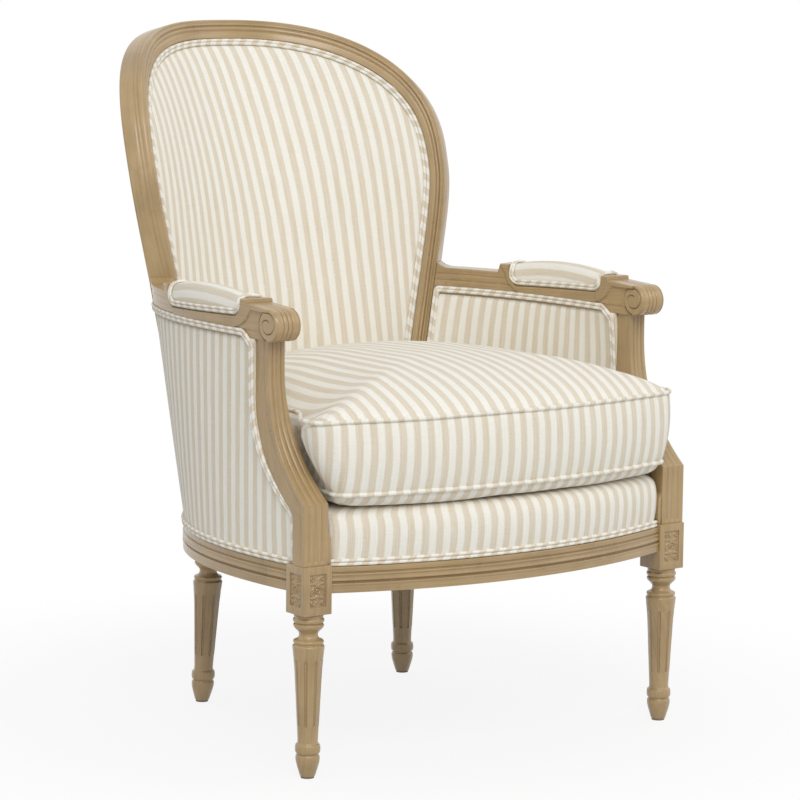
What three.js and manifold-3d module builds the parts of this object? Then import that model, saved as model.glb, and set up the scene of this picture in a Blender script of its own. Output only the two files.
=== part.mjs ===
// Bergere armchair: painted wood frame, upholstered arms and back, loose seat cushion.
// Millimetres, +Z up, +X to the right as seen from the front, +Y to the back.
// Everything is first laid out from the line through the front legs' axes at floor level,
// and the finished group is moved so that its origin is the bottom centre of its box.

import * as THREE from 'three';
import { mergeVertices } from 'three/addons/utils/BufferGeometryUtils.js';
import Module from 'manifold-3d';

const wasm = await Module();
wasm.setup();

// Fits
const seatGap = 0.3;
const fabricGap = 0.6;
const tenonClearance = 0.4;
const overrun = 4;

// Front legs and their die blocks
const frontLegSpacing = 628;
const dieSide = 45;
const dieBottomHeight = 229.2;
const dieTopHeight = 297;
const panelWidth = 27;
const panelHeight = 45;
const panelDepth = 1.6;
const collarRadius = 22;
const glideHeight = 2.5;
const glideRadius = 9.5;
const fluteCount = 8;
const fluteDepth = 2.6;

// Back legs
const backLegSpacing = 356;
const backLegInset = 22.9;
const backLegSplay = 8;
const legTenonRadius = 11;
const legTenonLength = 17;

// Seat rails, a horseshoe in plan with a bowed front
const railTopHeight = 293;
const railHeight = 37;
const railThickness = 40;
const railSetback = 3;
const frontBow = 58;
const seatSideBulge = 24;
const seatWidestSetback = 135;
const seatBackReach = 408;
const seatFrontReach = 520;
const railJointOffset = 122;
const railTenonLength = 12;
const railTenonThickness = 11;
const railTenonHeight = 20;

// Outline of the shell at the height of the arms
const armSideFlare = 2;
const armWidestSetback = 160;
const armBackFlare = 67;
const armFrontReach = 1400;

// Arm supports
const kneeHeight = 381;
const supportFootWidth = 40;
const supportTopWidth = 27;
const supportFrontSetback = 3;
const supportFootDepth = 27;
const supportTopSetback = 73;
const supportTopDepth = 30;
const supportSweepHeight = 188;
const supportTongueDepth = 14;
const supportTongueWidth = 11;
const supportReedDepth = 2.2;
const supportTopInset = 6.5;
const earWidth = 6;
const earHeight = 46;
const earDepth = 18;
const stubRadius = 6;
const stubLength = 15;

// Arm rests
const armBottomHeight = 595;
const armWeltLineHeight = 607;
const armRearTopHeight = 635;
const armRearRise = 7.5;
const armRearRiseLength = 22;
const armBlockTopHeight = 648;
const recessFrontHeight = 622.5;
const recessRearHeight = 616.5;
const armWidth = 43;
const armEdgeShare = 0.06;
const scrollRadius = 22;
const scrollWidth = 41;
const scrollOutset = 3.5;
const scrollNarrowing = 5.5;
const scrollSetback = 63;
const frontBlockSetback = 118;
const frontBlockLength = 14;
const recessLength = 217.5;
const recessWallLength = 20;
const rearBlockLength = 20;
const rearStepLength = 5;

// Back frame, wrapped round a cylinder and leaning back
const backReclineDegrees = 16.7;
const backWrapRadius = 208.7;
const backFootInset = 47.1;
const archHalfWidth = 248.3;
const archRise = 183;
const archSpringHeight = 800;
const stileFootHalfSpacing = 146.6;
const stileEase = 60;
const stileFaceWidth = 23.5;
const crestFaceWidth = 31;
const frameDepth = 38;
const stileFootDepth = 52;
const bottomRailRise = 47;
const bottomRailWidth = 38;
const bottomRailDepth = 22;
const stileStubShare = 0.42;
const stileStubLength = 12;
const dowelRadius = 5;
const dowelLength = 13;
const dowelSides = 10;

// Upholstery of the frame
const coverThickness = 5;
const coverInset = 3.3;
const outsideBackThickness = 6;
const insideBackClearance = 4;
const insideBackBulge = 58;
const insideBackThickness = 20;
const insideArmThickness = 19;
const insideArmBulge = 9;
const tackRailHeight = 312;
const tackRailWidth = 18;
const deckTopHeight = 371;
const deckFrontRoll = 11;
const deckFrontSetback = 8;
const deckSideClearance = 3;

// Welts
const weltWidth = 10;
const weltHeight = 4.4;
const cushionCordRadius = 3.2;

// Loose cushion
const cushionClearance = 7;
const cushionSideClearance = 2;
const cushionFrontSetback = 3;
const cushionFrontSag = 25;
const cushionBoxing = 103;
const cushionTopCrown = 60;
const cushionBottomCrown = 20;
const cushionDrawIn = 1.5;
const cushionCornerRadius = 16;

// Arm pads
const armPadWidth = 36;
const armPadEndDrop = 2;
const armPadCrown = 10;

// Webbing, corner blocks and dust cover
const strapWidth = 50;
const strapThickness = 1.6;
const strapLap = 14;
const strapSpacing = 64;
const strapCount = 4;
const crossStrapSpacing = 100;
const crossStrapCount = 3;
const crossStrapSetback = 90;
const cornerBlockHeight = 28;
const cornerBlockLeg = 52;
const dustCoverInset = 14;
const dustCoverThickness = 1;

// Places that follow from the sizes
const legAxis = frontLegSpacing / 2;
const seatHalfWidth = legAxis + seatSideBulge;
const armHalfWidth = seatHalfWidth + armSideFlare;
const armBackReach = seatBackReach + armBackFlare;
const backFootSetback = seatWidestSetback + seatBackReach - backFootInset;
const dieHalf = dieSide / 2;
const railBottomHeight = railTopHeight - railHeight;
const footHeight = glideHeight + seatGap;
const bottomRailHeight = railTopHeight + bottomRailRise;
const insideBackBottomHeight = bottomRailHeight + bottomRailWidth + insideBackClearance;
const dieInside = legAxis - dieHalf;
const recline = THREE.MathUtils.degToRad(backReclineDegrees);
const supportInside = legAxis + dieHalf - seatGap - supportFootWidth;

// Curves: powers of the outlines, of the sweep of the arm supports and of soft and eased forms
const seatOutlinePower = 2.1;
const armOutlinePower = 2.3;
const archOutlinePower = 2.75;
const supportFrontPower = 2.5;
const supportRearPower = 2.4;
const endBlendPower = 4;
const riseEasePower = 3;
const cushionCrownPower = 2.4;
const cushionFullnessPower = 0.75;
const insideBackPower = 2.5;
const padSectionPower = 0.6;

// Counts of steps along the back frame, the arms and the sweep of the arm supports
const archSteps = 24;
const stileSteps = 8;
const armSteps = 9;
const sweepSteps = 7;
const recessWallSteps = 4;
const recessFloorSteps = 4;
const padSides = 10;
const deckCounts = { front: 7, corner: 2, side: 6, back: 5 };
const cushionCounts = { front: 5, corner: 4, side: 7, back: 5 };
const dustCoverCounts = { front: 6, corner: 1, side: 12, back: 1 };
const cordSides = 5;
const roundSides = 16;

// Turned leg: shares of the turned height and of the collar radius, foot first
const legProfileShares = [
  [0, 0.49], [0.036, 0.586], [0.074, 0.71], [0.112, 0.764], [0.136, 0.68], [0.147, 0.76],
  [0.17, 0.782], [0.195, 0.755], [0.222, 0.635], [0.3, 0.675], [0.34, 0.7], [0.655, 0.86],
  [0.7, 0.9], [0.8, 1], [0.818, 0.955], [0.836, 0.764], [0.869, 0.568], [0.924, 0.918],
  [0.944, 0.945], [0.964, 0.927], [1, 0.86],
];
const fluteLowShare = 0.33;
const fluteHighShare = 0.67;

// Place of a rail tenon across the rail and across the die block
const tenonPlaceShare = 0.33;

// Seat rail moulding: shares of the thickness going in and of the height going up
const railProfileShares = [
  [0.02, 0], [0.02, 0.27], [0, 0.31], [0.02, 0.36], [0.075, 0.39], [0.02, 0.43], [0.01, 0.5],
  [0.03, 0.55], [0.01, 0.6], [0.02, 0.68], [0.075, 0.73], [0.045, 0.79], [0.05, 0.96],
  [0.07, 1], [1, 1], [1, 0],
];

// Back frame moulding: shares of the face width going out and of the depth going back
const frameProfileShares = [
  [0, 0.04], [0.27, 0.02], [0.32, 0.09], [0.38, 0.02], [0.5, 0], [0.62, 0.02], [0.68, 0.08],
  [0.9, 0.04], [1, 0.22], [0.93, 0.3], [1, 0.37], [1, 0.96], [0, 1],
];

// Front face of an arm support: shares of the width from the outer edge, and of the reed depth
const supportFaceShares = [
  [0, 0.6], [0.04, 0], [0.17, 0], [0.24, 1], [0.31, 0.1], [0.42, 0.1], [0.5, 1], [0.58, 0.1],
  [0.69, 0.1], [0.76, 1], [0.83, 0], [0.96, 0], [1, 0.6],
];

// Sections of the double welt, as shares of its width across and of its height outwards
const doubleWeltShares = [
  [-0.5, 0], [-0.3, 1], [0, 0.6], [0.3, 1], [0.5, 0],
];

// Inside of an arm: a flat strip for the welt, an eased part, and the stations along it
const padFlatShare = 0.045;
const padEaseShare = 0.15;
const insideShares = [0, 0.045, 0.1, 0.195, 0.32, 0.46, 0.6, 0.74, 0.87, 1];

// Rings of the soft forms, as shares of the outline, the crown and the seam's depth
const insideBackRingShares = [0.93, 0.84, 0.7, 0.5, 0.26];
const hiddenRingShares = [0.2, 0.6];
const deckLevelShares = [[0, 0], [0.35, 0], [0.86, 0.1], [0.96, 0.4], [1, 1]];
const cushionBelowShares = [0.8, 0.9, 0.965];
const cushionAboveShares = [0.965, 0.9, 0.79, 0.63, 0.42, 0.16];
const scrollShoulderShares = [0.41, 0.23];

function vec(x, y, z) {
  return new THREE.Vector3(x, y, z);
}

function mix(from, to, share) {
  return from + (to - from) * share;
}

function steps(count) {
  return Array.from({ length: count + 1 }, (unused, step) => step / count);
}

// Solid geometry

function signedVolume(geometry) {
  const place = geometry.getAttribute('position');
  const index = geometry.getIndex();
  const corner = (slot) => new THREE.Vector3().fromBufferAttribute(place, index.getX(slot));
  let volume = 0;
  for (let slot = 0; slot < index.count; slot += 3) {
    volume += corner(slot).dot(corner(slot + 1).cross(corner(slot + 2)));
  }
  return volume;
}

function faceOutwards(geometry) {
  if (signedVolume(geometry) < 0) {
    const order = Array.from(geometry.getIndex().array);
    for (let slot = 0; slot < order.length; slot += 3) {
      [order[slot + 1], order[slot + 2]] = [order[slot + 2], order[slot + 1]];
    }
    geometry.setIndex(order);
  }
  return geometry;
}

// A closed skin over rings of equal length. The ends are closed by fans from their centres,
// or by a strip across where the ring is the edge of a thin sheet.
function skin(rings, endless = false, thin = false) {
  const count = rings[0].length;
  const points = rings.flat();
  const order = [];
  const bands = endless ? rings.length : rings.length - 1;
  for (let row = 0; row < bands; row += 1) {
    const low = row * count;
    const high = ((row + 1) % rings.length) * count;
    for (let side = 0; side < count; side += 1) {
      const next = (side + 1) % count;
      order.push(low + side, low + next, high + next);
      order.push(low + side, high + next, high + side);
    }
  }
  const ends = endless ? [] : [[rings[0], 0], [rings.at(-1), (rings.length - 1) * count]];
  for (const [ring, start] of ends) {
    const faces = thin ? stripFaces(count) : fanFaces(count);
    if (!thin) {
      const centre = vec(0, 0, 0);
      ring.forEach((point) => centre.addScaledVector(point, 1 / count));
      points.push(centre);
    }
    for (const face of faces) {
      const corners = face.map((corner) => (corner < count ? start + corner : points.length - 1));
      order.push(...(start === 0 ? corners.reverse() : corners));
    }
  }
  const geometry = new THREE.BufferGeometry().setFromPoints(points);
  geometry.setIndex(order);
  return faceOutwards(geometry);
}

function fanFaces(count) {
  return steps(count).slice(0, -1).map((unused, side) => [count, side, (side + 1) % count]);
}

function stripFaces(count) {
  const faces = [];
  for (let side = 0; side < count / 2 - 1; side += 1) {
    faces.push([side, side + 1, count - 2 - side], [side, count - 2 - side, count - 1 - side]);
  }
  return faces;
}

function toSolid(geometry) {
  const bare = geometry.clone();
  bare.deleteAttribute('normal');
  bare.deleteAttribute('uv');
  const merged = mergeVertices(bare);
  return new wasm.Manifold(new wasm.Mesh({
    numProp: 3,
    vertProperties: merged.getAttribute('position').array,
    triVerts: Uint32Array.from(merged.getIndex().array),
  }));
}

function toGeometry(solid) {
  const mesh = solid.getMesh();
  const geometry = new THREE.BufferGeometry();
  geometry.setAttribute('position', new THREE.BufferAttribute(mesh.vertProperties, mesh.numProp));
  geometry.setIndex(Array.from(mesh.triVerts));
  return geometry;
}

function join(base, ...others) {
  return others.reduce((solid, other) => solid.add(toSolid(other)), toSolid(base));
}

function mirrored(geometry) {
  const copy = geometry.clone();
  copy.scale(-1, 1, 1);
  const order = Array.from(copy.getIndex().array);
  for (let slot = 0; slot < order.length; slot += 3) {
    [order[slot + 1], order[slot + 2]] = [order[slot + 2], order[slot + 1]];
  }
  copy.setIndex(order);
  return copy;
}

function box(centre, width, depth, height) {
  const geometry = new THREE.BoxGeometry(width, depth, height);
  geometry.translate(centre.x, centre.y, centre.z);
  return geometry;
}

// Upright cylinder standing on its base point
function peg(base, radius, height) {
  const geometry = new THREE.CylinderGeometry(radius, radius, height, roundSides);
  geometry.rotateX(Math.PI / 2);
  geometry.translate(base.x, base.y, base.z + height / 2);
  return geometry;
}

// Round dowel or hole from one point to another
function rod(from, to, radius) {
  const geometry = new THREE.CylinderGeometry(radius, radius, from.distanceTo(to), dowelSides);
  const direction = to.clone().sub(from).normalize();
  geometry.applyQuaternion(new THREE.Quaternion().setFromUnitVectors(vec(0, 1, 0), direction));
  const centre = from.clone().lerp(to, 0.5);
  geometry.translate(centre.x, centre.y, centre.z);
  return geometry;
}

function cutAway(solid, ...cutters) {
  return toGeometry(cutters.reduce((left, cutter) => left.subtract(toSolid(cutter)), solid));
}

// Stations at equal distances along a curve given as a function of a share
function evenShares(curve, count) {
  const fine = 400;
  const lengths = [0];
  for (let step = 1; step <= fine; step += 1) {
    lengths.push(lengths.at(-1) + curve((step - 1) / fine).distanceTo(curve(step / fine)));
  }
  return steps(count).map((share) => {
    const wanted = share * lengths.at(-1);
    const step = Math.max(1, lengths.findIndex((length) => length >= wanted - 1e-9));
    const part = (wanted - lengths[step - 1]) / (lengths[step] - lengths[step - 1]);
    return (step - 1 + part) / fine;
  });
}

// Shell: the outer surface of the seat rails, the outside covers and the arms, right half.
// The angle is 0 where the shell is widest and 90 degrees at the middle of the back.

function shellLevel(height) {
  const share = (height - railTopHeight) / (armWeltLineHeight - railTopHeight);
  return {
    halfWidth: mix(seatHalfWidth, armHalfWidth, share),
    widest: mix(seatWidestSetback, armWidestSetback, share),
    back: mix(seatBackReach, armBackReach, share),
    front: mix(seatFrontReach, armFrontReach, share),
    power: 2 / mix(seatOutlinePower, armOutlinePower, share),
  };
}

function shellPoint(angle, height, inset = 0) {
  const level = shellLevel(height);
  const outer = (turn) => {
    if (turn < 0) {
      return [level.halfWidth * Math.cos(turn), level.widest + level.front * Math.sin(turn)];
    }
    return [
      level.halfWidth * Math.max(0, Math.cos(turn)) ** level.power,
      level.widest + level.back * Math.sin(turn) ** level.power,
    ];
  };
  const [x, y] = outer(angle);
  const nudge = 1e-3;
  const [xLow, yLow] = outer(angle - nudge);
  const [xHigh, yHigh] = outer(angle + nudge);
  const run = Math.hypot(xHigh - xLow, yHigh - yLow);
  return vec(x - (inset * (yHigh - yLow)) / run, y + (inset * (xHigh - xLow)) / run, height);
}

// The angle at which the shell at a height reaches a setback
function shellAngle(setback, height) {
  const level = shellLevel(height);
  if (setback < level.widest) {
    return Math.asin((setback - level.widest) / level.front);
  }
  return Math.asin(Math.min(1, (setback - level.widest) / level.back) ** (1 / level.power));
}

// Front rail line: an arc through the die blocks, bowed forward in the middle
function frontLine(x) {
  const ends = railSetback - dieHalf;
  const bowRadius = (dieInside ** 2 + frontBow ** 2) / (2 * frontBow);
  const centre = ends - frontBow + bowRadius;
  return centre - Math.sqrt(bowRadius ** 2 - x ** 2);
}

// Back surface: the front face of the back frame

function backFace(x, z) {
  const lean = (z - railTopHeight) * Math.tan(recline);
  return vec(x, backFootSetback + lean - x ** 2 / (2 * backWrapRadius), z);
}

function backNormal(x) {
  return vec(x / backWrapRadius, 1, -Math.tan(recline)).normalize();
}

// Half-width of the opening below the arch: it narrows evenly after an eased start
function openingHalfWidth(z) {
  const fall = (drop) => Math.hypot(drop, stileEase) - stileEase;
  const share = fall(Math.max(0, archSpringHeight - z)) / fall(archSpringHeight - railTopHeight);
  return mix(archHalfWidth, stileFootHalfSpacing, share);
}

function stileEdge(share) {
  const z = mix(railTopHeight, archSpringHeight, share);
  return backFace(openingHalfWidth(z), z);
}

function archEdge(share) {
  const angle = share * Math.PI;
  const power = 2 / archOutlinePower;
  const x = archHalfWidth * Math.sign(Math.cos(angle)) * Math.abs(Math.cos(angle)) ** power;
  return backFace(x, archSpringHeight + archRise * Math.max(0, Math.sin(angle)) ** power);
}

// Directions at a place on the frame's inner edge: along it, out of the opening, and backwards
function edgeFrame(edge, share) {
  const nudge = 1e-3;
  const low = edge(Math.max(0, share - nudge));
  const along = edge(Math.min(1, share + nudge)).sub(low).normalize();
  const point = edge(share);
  const back = backNormal(point.x);
  back.addScaledVector(along, -back.dot(along)).normalize();
  const out = back.clone().cross(along).normalize();
  return { point, along, back, out };
}

// Width of the frame's face at a height: it grows along the arch
function faceWidthAt(z) {
  const share = THREE.MathUtils.clamp((z - archSpringHeight) / archRise, 0, 1);
  return mix(stileFaceWidth, crestFaceWidth, share);
}

// Depth of the frame at a height: stouter towards the foot of the stile
function depthAt(z) {
  const share = THREE.MathUtils.clamp((armBlockTopHeight - z) / (armBlockTopHeight - railTopHeight), 0, 1);
  return mix(frameDepth, stileFootDepth, share);
}

function frameRing(edge, share, shares) {
  const { point, along, back, out } = edgeFrame(edge, share);
  const depth = depthAt(point.z);
  const width = faceWidthAt(point.z);
  const ring = shares.map(([across, deep]) => point.clone()
    .addScaledVector(out, across * width)
    .addScaledVector(back, deep * depth));
  return { ring, along };
}

// Moves the points of a ring along a direction until they lie on a plane
function cutRing(ring, along, planePoint, planeNormal) {
  return ring.map((point) => {
    const reach = planePoint.clone().sub(point).dot(planeNormal) / along.dot(planeNormal);
    return point.clone().addScaledVector(along, reach);
  });
}

// Point of the stile's section (shares of face and depth) at a given height
function stileCorner(across, deep, height) {
  let low = 0;
  let high = 1;
  for (let round = 0; round < 30; round += 1) {
    const middle = (low + high) / 2;
    const { ring } = frameRing(stileEdge, middle, [[across, deep]]);
    if (ring[0].z < height) {
      low = middle;
    } else {
      high = middle;
    }
  }
  return frameRing(stileEdge, low, [[across, deep]]).ring[0];
}

// Pieces

function glide(axisX, axisY) {
  return peg(vec(axisX, axisY, 0), glideRadius, glideHeight);
}

// Turned and fluted column from the foot up to a top height, its axis leaning between two points
function turnedColumn(foot, top) {
  const sides = fluteCount * 2;
  const rings = legProfileShares.map(([heightShare, radiusShare]) => {
    const centre = foot.clone().lerp(top, heightShare);
    const fluted = heightShare > fluteLowShare && heightShare < fluteHighShare;
    return steps(sides).slice(0, -1).map((turn, side) => {
      const cut = fluted && side % 2 === 0 ? fluteDepth : 0;
      const radius = collarRadius * radiusShare - cut;
      const angle = turn * 2 * Math.PI;
      return vec(centre.x + radius * Math.cos(angle), centre.y + radius * Math.sin(angle), centre.z);
    });
  });
  return skin(rings);
}

function frontLeg() {
  const middle = (dieBottomHeight + dieTopHeight) / 2;
  const height = dieTopHeight - dieBottomHeight;
  const column = turnedColumn(vec(legAxis, 0, footHeight), vec(legAxis, 0, dieBottomHeight + seatGap));
  const die = box(vec(legAxis, 0, middle), dieSide, dieSide, height);
  const panels = [
    box(vec(legAxis, -dieHalf, middle), panelWidth, 2 * panelDepth, panelHeight),
    box(vec(legAxis + dieHalf, 0, middle), 2 * panelDepth, panelWidth, panelHeight),
  ];
  const stub = peg(
    vec(...supportStubPlace(), dieTopHeight - stubLength - tenonClearance),
    stubRadius + tenonClearance,
    stubLength + tenonClearance + overrun,
  );
  const mortises = [frontTenon(tenonClearance), sideTenon(tenonClearance), stub];
  return cutAway(join(die, column), ...panels, ...mortises);
}

function supportStubPlace() {
  return [legAxis + dieHalf - supportFootWidth / 2, supportFrontSetback - dieHalf + supportFootDepth / 2];
}

// Tenons of the seat rails in the die block, grown by a clearance for their mortises
function frontTenon(grow) {
  const reach = dieInside - seatGap - overrun;
  const tip = dieInside + railTenonLength + grow;
  return box(
    vec((reach + tip) / 2, frontTenonSetback(), railTopHeight - railHeight / 2),
    tip - reach,
    railTenonThickness + 2 * grow,
    railTenonHeight + 2 * grow,
  );
}

function frontTenonSetback() {
  return frontLine(dieInside) + railThickness * tenonPlaceShare;
}

function sideTenon(grow) {
  const reach = dieHalf + seatGap + overrun;
  const tip = dieHalf - railTenonLength - grow;
  return box(
    vec(legAxis + railTenonThickness * tenonPlaceShare, (reach + tip) / 2, railTopHeight - railHeight / 2),
    railTenonThickness + 2 * grow,
    reach - tip,
    railTenonHeight + 2 * grow,
  );
}

function backLegTop() {
  const setback = railSetbackAt(backLegSpacing / 2, backLegInset);
  return vec(backLegSpacing / 2, setback, railBottomHeight - seatGap);
}

function backLegFoot() {
  const top = backLegTop();
  return vec(top.x + backLegSplay, top.y + backLegSplay, footHeight);
}

// The back leg's turning is as tall as the front one's, with a plain neck up to the rail
function backLeg() {
  const top = backLegTop();
  const foot = backLegFoot();
  const turnedShare = (dieBottomHeight - footHeight) / (top.z - footHeight);
  const neckFoot = foot.clone().lerp(top, turnedShare);
  const neckRadius = collarRadius * legProfileShares.at(-1)[1];
  const neckBase = vec(neckFoot.x, neckFoot.y, neckFoot.z - seatGap);
  const neck = peg(neckBase, neckRadius, top.z - neckBase.z);
  const tenon = peg(vec(top.x, top.y, top.z - overrun), legTenonRadius, legTenonLength + overrun);
  return toGeometry(join(turnedColumn(foot, neckFoot), neck, tenon));
}

function railRing(place) {
  return railProfileShares.map(([inShare, upShare]) => {
    const point = place(inShare * railThickness);
    point.z = mix(railBottomHeight, railTopHeight, upShare);
    return point;
  });
}

function frontRail() {
  const half = dieInside - seatGap;
  const rings = steps(12).map((share) => {
    const x = mix(-half, half, share);
    return railRing((inset) => vec(x, frontLine(x) + inset, 0));
  });
  const tenon = frontTenon(0);
  return toGeometry(join(skin(rings), tenon, mirrored(tenon)));
}

// Angle of the butt joint between a side rail and the back rail
function railJointAngle() {
  const level = shellLevel(railTopHeight);
  return Math.acos((railJointOffset / level.halfWidth) ** (1 / level.power));
}

function shellRun(from, to, height, count) {
  const curve = (share) => shellPoint(mix(from, to, share), height);
  return evenShares(curve, count).map((share) => mix(from, to, share));
}

function sideRail() {
  const start = shellAngle(dieHalf + seatGap, railTopHeight);
  const angles = shellRun(start, railJointAngle(), railTopHeight, 12);
  const rings = angles.map((angle, station) => {
    const ring = railRing((inset) => shellPoint(angle, railTopHeight, inset));
    if (station > 0) {
      return ring;
    }
    return ring.map((point) => vec(point.x, dieHalf + seatGap, point.z));
  });
  const legTenonBase = backLegTop().sub(vec(0, 0, overrun));
  return cutAway(
    join(skin(rings), sideTenon(0)),
    peg(legTenonBase, legTenonRadius + tenonClearance, legTenonLength + overrun + tenonClearance),
    stileStub(railTopHeight - stileStubLength - tenonClearance, tenonClearance),
  );
}

function backRail() {
  const joint = railJointAngle();
  const nearJoint = joint + seatGap / seatHalfWidth;
  const angles = shellRun(nearJoint, Math.PI / 2, railTopHeight, 5);
  const half = angles.map((angle) => railRing((inset) => shellPoint(angle, railTopHeight, inset)));
  const other = half.slice(0, -1).reverse().map((ring) => ring.map((p) => vec(-p.x, p.y, p.z)));
  return skin([...half, ...other]);
}

// Arm support

// Setback of the front face at a height: upright below the knee, then a falling sweep
function supportFront(z) {
  const foot = supportFrontSetback - dieHalf;
  const share = THREE.MathUtils.clamp((kneeHeight + supportSweepHeight - z) / supportSweepHeight, 0, 1);
  return z < kneeHeight ? foot : mix(supportTopSetback, foot, share ** supportFrontPower);
}

// Setback of the line where the covers meet the show wood
function supportRear(z) {
  const foot = supportFrontSetback - dieHalf + supportFootDepth;
  const turnHeight = kneeHeight - supportFootDepth / 2;
  const reach = supportSweepHeight - supportFootDepth;
  const share = THREE.MathUtils.clamp((turnHeight + reach - z) / reach, 0, 1);
  return mix(supportTopSetback + supportTopDepth, foot, z < turnHeight ? 1 : share ** supportRearPower);
}

// Heights at which the support and everything that meets it have their corners
function sweepLevels(bottom) {
  const turnHeight = kneeHeight - supportFootDepth / 2;
  const top = armBottomHeight - seatGap;
  return [bottom, turnHeight, ...steps(sweepSteps).map((share) => mix(kneeHeight, top, share))];
}

function supportWidth(z) {
  const share = THREE.MathUtils.clamp((z - kneeHeight) / supportSweepHeight, 0, 1);
  return mix(supportFootWidth, supportTopWidth, Math.sin((share * Math.PI) / 2));
}

// Outer and inner faces of the show wood at a height
function supportOutside(z) {
  const foot = legAxis + dieHalf - seatGap;
  const share = THREE.MathUtils.clamp((z - kneeHeight) / supportSweepHeight, 0, 1);
  return mix(foot, armHalfWidth - supportTopInset, share);
}

function supportRing(z) {
  const width = supportWidth(z);
  const outside = supportOutside(z);
  const front = supportFront(z);
  const face = supportFaceShares.map(([across, deep]) => (
    vec(outside - across * width, front + deep * supportReedDepth, z)
  ));
  return [...face, vec(outside - width, supportRear(z), z), vec(outside, supportRear(z), z)];
}

// Tongue behind the show wood, between the outside cover and the inside pad
function tongueRing(z) {
  const rear = supportRear(z);
  const outer = shellPoint(shellAngle(rear, z), z).x - coverInset - coverThickness - 2 * fabricGap;
  const corners = [[0, -overrun], [0, supportTongueDepth], [1, supportTongueDepth], [1, -overrun]];
  return corners.map(([inward, deep]) => vec(outer - inward * supportTongueWidth, rear + deep, z));
}

function armSupport() {
  const foot = dieTopHeight + seatGap;
  const heights = sweepLevels(foot);
  const [stubX, stubY] = supportStubPlace();
  const stub = peg(vec(stubX, stubY, foot - stubLength), stubRadius, stubLength + overrun);
  const front = supportFront(foot) + supportReedDepth;
  const ear = box(
    vec(supportInside, front + earDepth / 2, foot + earHeight / 2),
    2 * earWidth,
    earDepth,
    earHeight,
  );
  const wood = join(skin(heights.map(supportRing)), skin(heights.map(tongueRing)), stub, ear);
  return toGeometry(wood.add(toSolid(supportDowel(0))));
}

// Dowel from the top of the support into the arm rest
function supportDowel(grow) {
  const x = supportOutside(armBottomHeight) - supportTopWidth / 2;
  const y = supportTopSetback + supportTopDepth / 2;
  const tip = armBottomHeight + dowelLength + grow;
  return rod(vec(x, y, armBottomHeight - seatGap - overrun), vec(x, y, tip), dowelRadius + grow);
}

// Bands of the arms: surfaces inside the shell that run from a start setback to the stile

// Angle at which the shell, moved in by an inset, reaches a setback
function angleAt(setback, height, inset) {
  let wanted = setback;
  let angle = 0;
  for (let round = 0; round < 6; round += 1) {
    angle = shellAngle(wanted, height);
    wanted -= shellPoint(angle, height, inset).y - setback;
  }
  return angle;
}

// The band closes on the stile's outer side, whose depth the arm's width is spread over
function bandEnd(height, inset) {
  const across = 1 + seatGap / stileFaceWidth;
  return stileCorner(across, 1 - inset / armWidth, height);
}

const bandEnds = new Map();

function band(share, height, inset, start) {
  const key = `${height.toFixed(3)} ${inset.toFixed(3)} ${start.toFixed(3)}`;
  if (!bandEnds.has(key)) {
    const target = bandEnd(height, inset);
    const last = angleAt(target.y, height, inset);
    const miss = target.clone().sub(shellPoint(last, height, inset));
    bandEnds.set(key, { first: angleAt(start, height, inset), last, miss });
  }
  const { first, last, miss } = bandEnds.get(key);
  return shellPoint(mix(first, last, share), height, inset).addScaledVector(miss, share ** endBlendPower);
}

// Closed sheet between two surfaces given as functions of a share along and a height
function sheet(outer, inner, alongShares, levels) {
  const rings = alongShares.map((along) => [
    ...levels.map((z) => outer(along, z)),
    ...levels.map((z) => inner(along, z)).reverse(),
  ]);
  return skin(rings, false, true);
}

// Arm rest

const armStart = scrollSetback;

function armPlan(share, inset, z = armWeltLineHeight) {
  return band(share, z, inset, armStart);
}

// Share along the arm at a distance behind the scroll, measured on the outer line
function armMeasure() {
  const fine = 300;
  const points = steps(fine).map((share) => armPlan(share, 0));
  const lengths = [0];
  for (let step = 1; step <= fine; step += 1) {
    lengths.push(lengths.at(-1) + points[step].distanceTo(points[step - 1]));
  }
  const shareAt = (distance) => {
    const step = THREE.MathUtils.clamp(lengths.findIndex((length) => length >= distance), 1, fine);
    const part = (distance - lengths[step - 1]) / (lengths[step] - lengths[step - 1]);
    return Math.min(1, (step - 1 + part) / fine);
  };
  return { total: lengths.at(-1), shareAt };
}

const armLength = armMeasure();
const frontBlockStart = frontBlockSetback - scrollSetback;
const recessStart = frontBlockStart + frontBlockLength;
const recessEnd = recessStart + recessLength;
const rearBlockEnd = recessEnd + rearBlockLength;

// The recess in side view, drawn in by a margin: distances behind the scroll's centre and heights.
// Its ends are quarters of an ellipse.
function recessPlaces(margin) {
  const wall = (floorHeight) => steps(recessWallSteps).map((share) => {
    const drop = armBlockTopHeight - floorHeight;
    const angle = (share * Math.PI) / 2;
    const normal = vec(drop * Math.cos(angle), recessWallLength * Math.sin(angle), 0).normalize();
    return [
      recessWallLength * (1 - Math.cos(angle)) + margin * normal.x,
      armBlockTopHeight - drop * Math.sin(angle) + margin * normal.y,
    ];
  });
  const floor = steps(recessFloorSteps).slice(1, -1).map((share) => [
    mix(recessWallLength, recessLength - recessWallLength, share),
    mix(recessFrontHeight, recessRearHeight, share) + margin,
  ]);
  const rear = wall(recessRearHeight).map(([along, z]) => [recessLength - along, z]).reverse();
  const places = [...wall(recessFrontHeight), ...floor, ...rear];
  return places.map(([along, z]) => [recessStart + along, z]);
}

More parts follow.
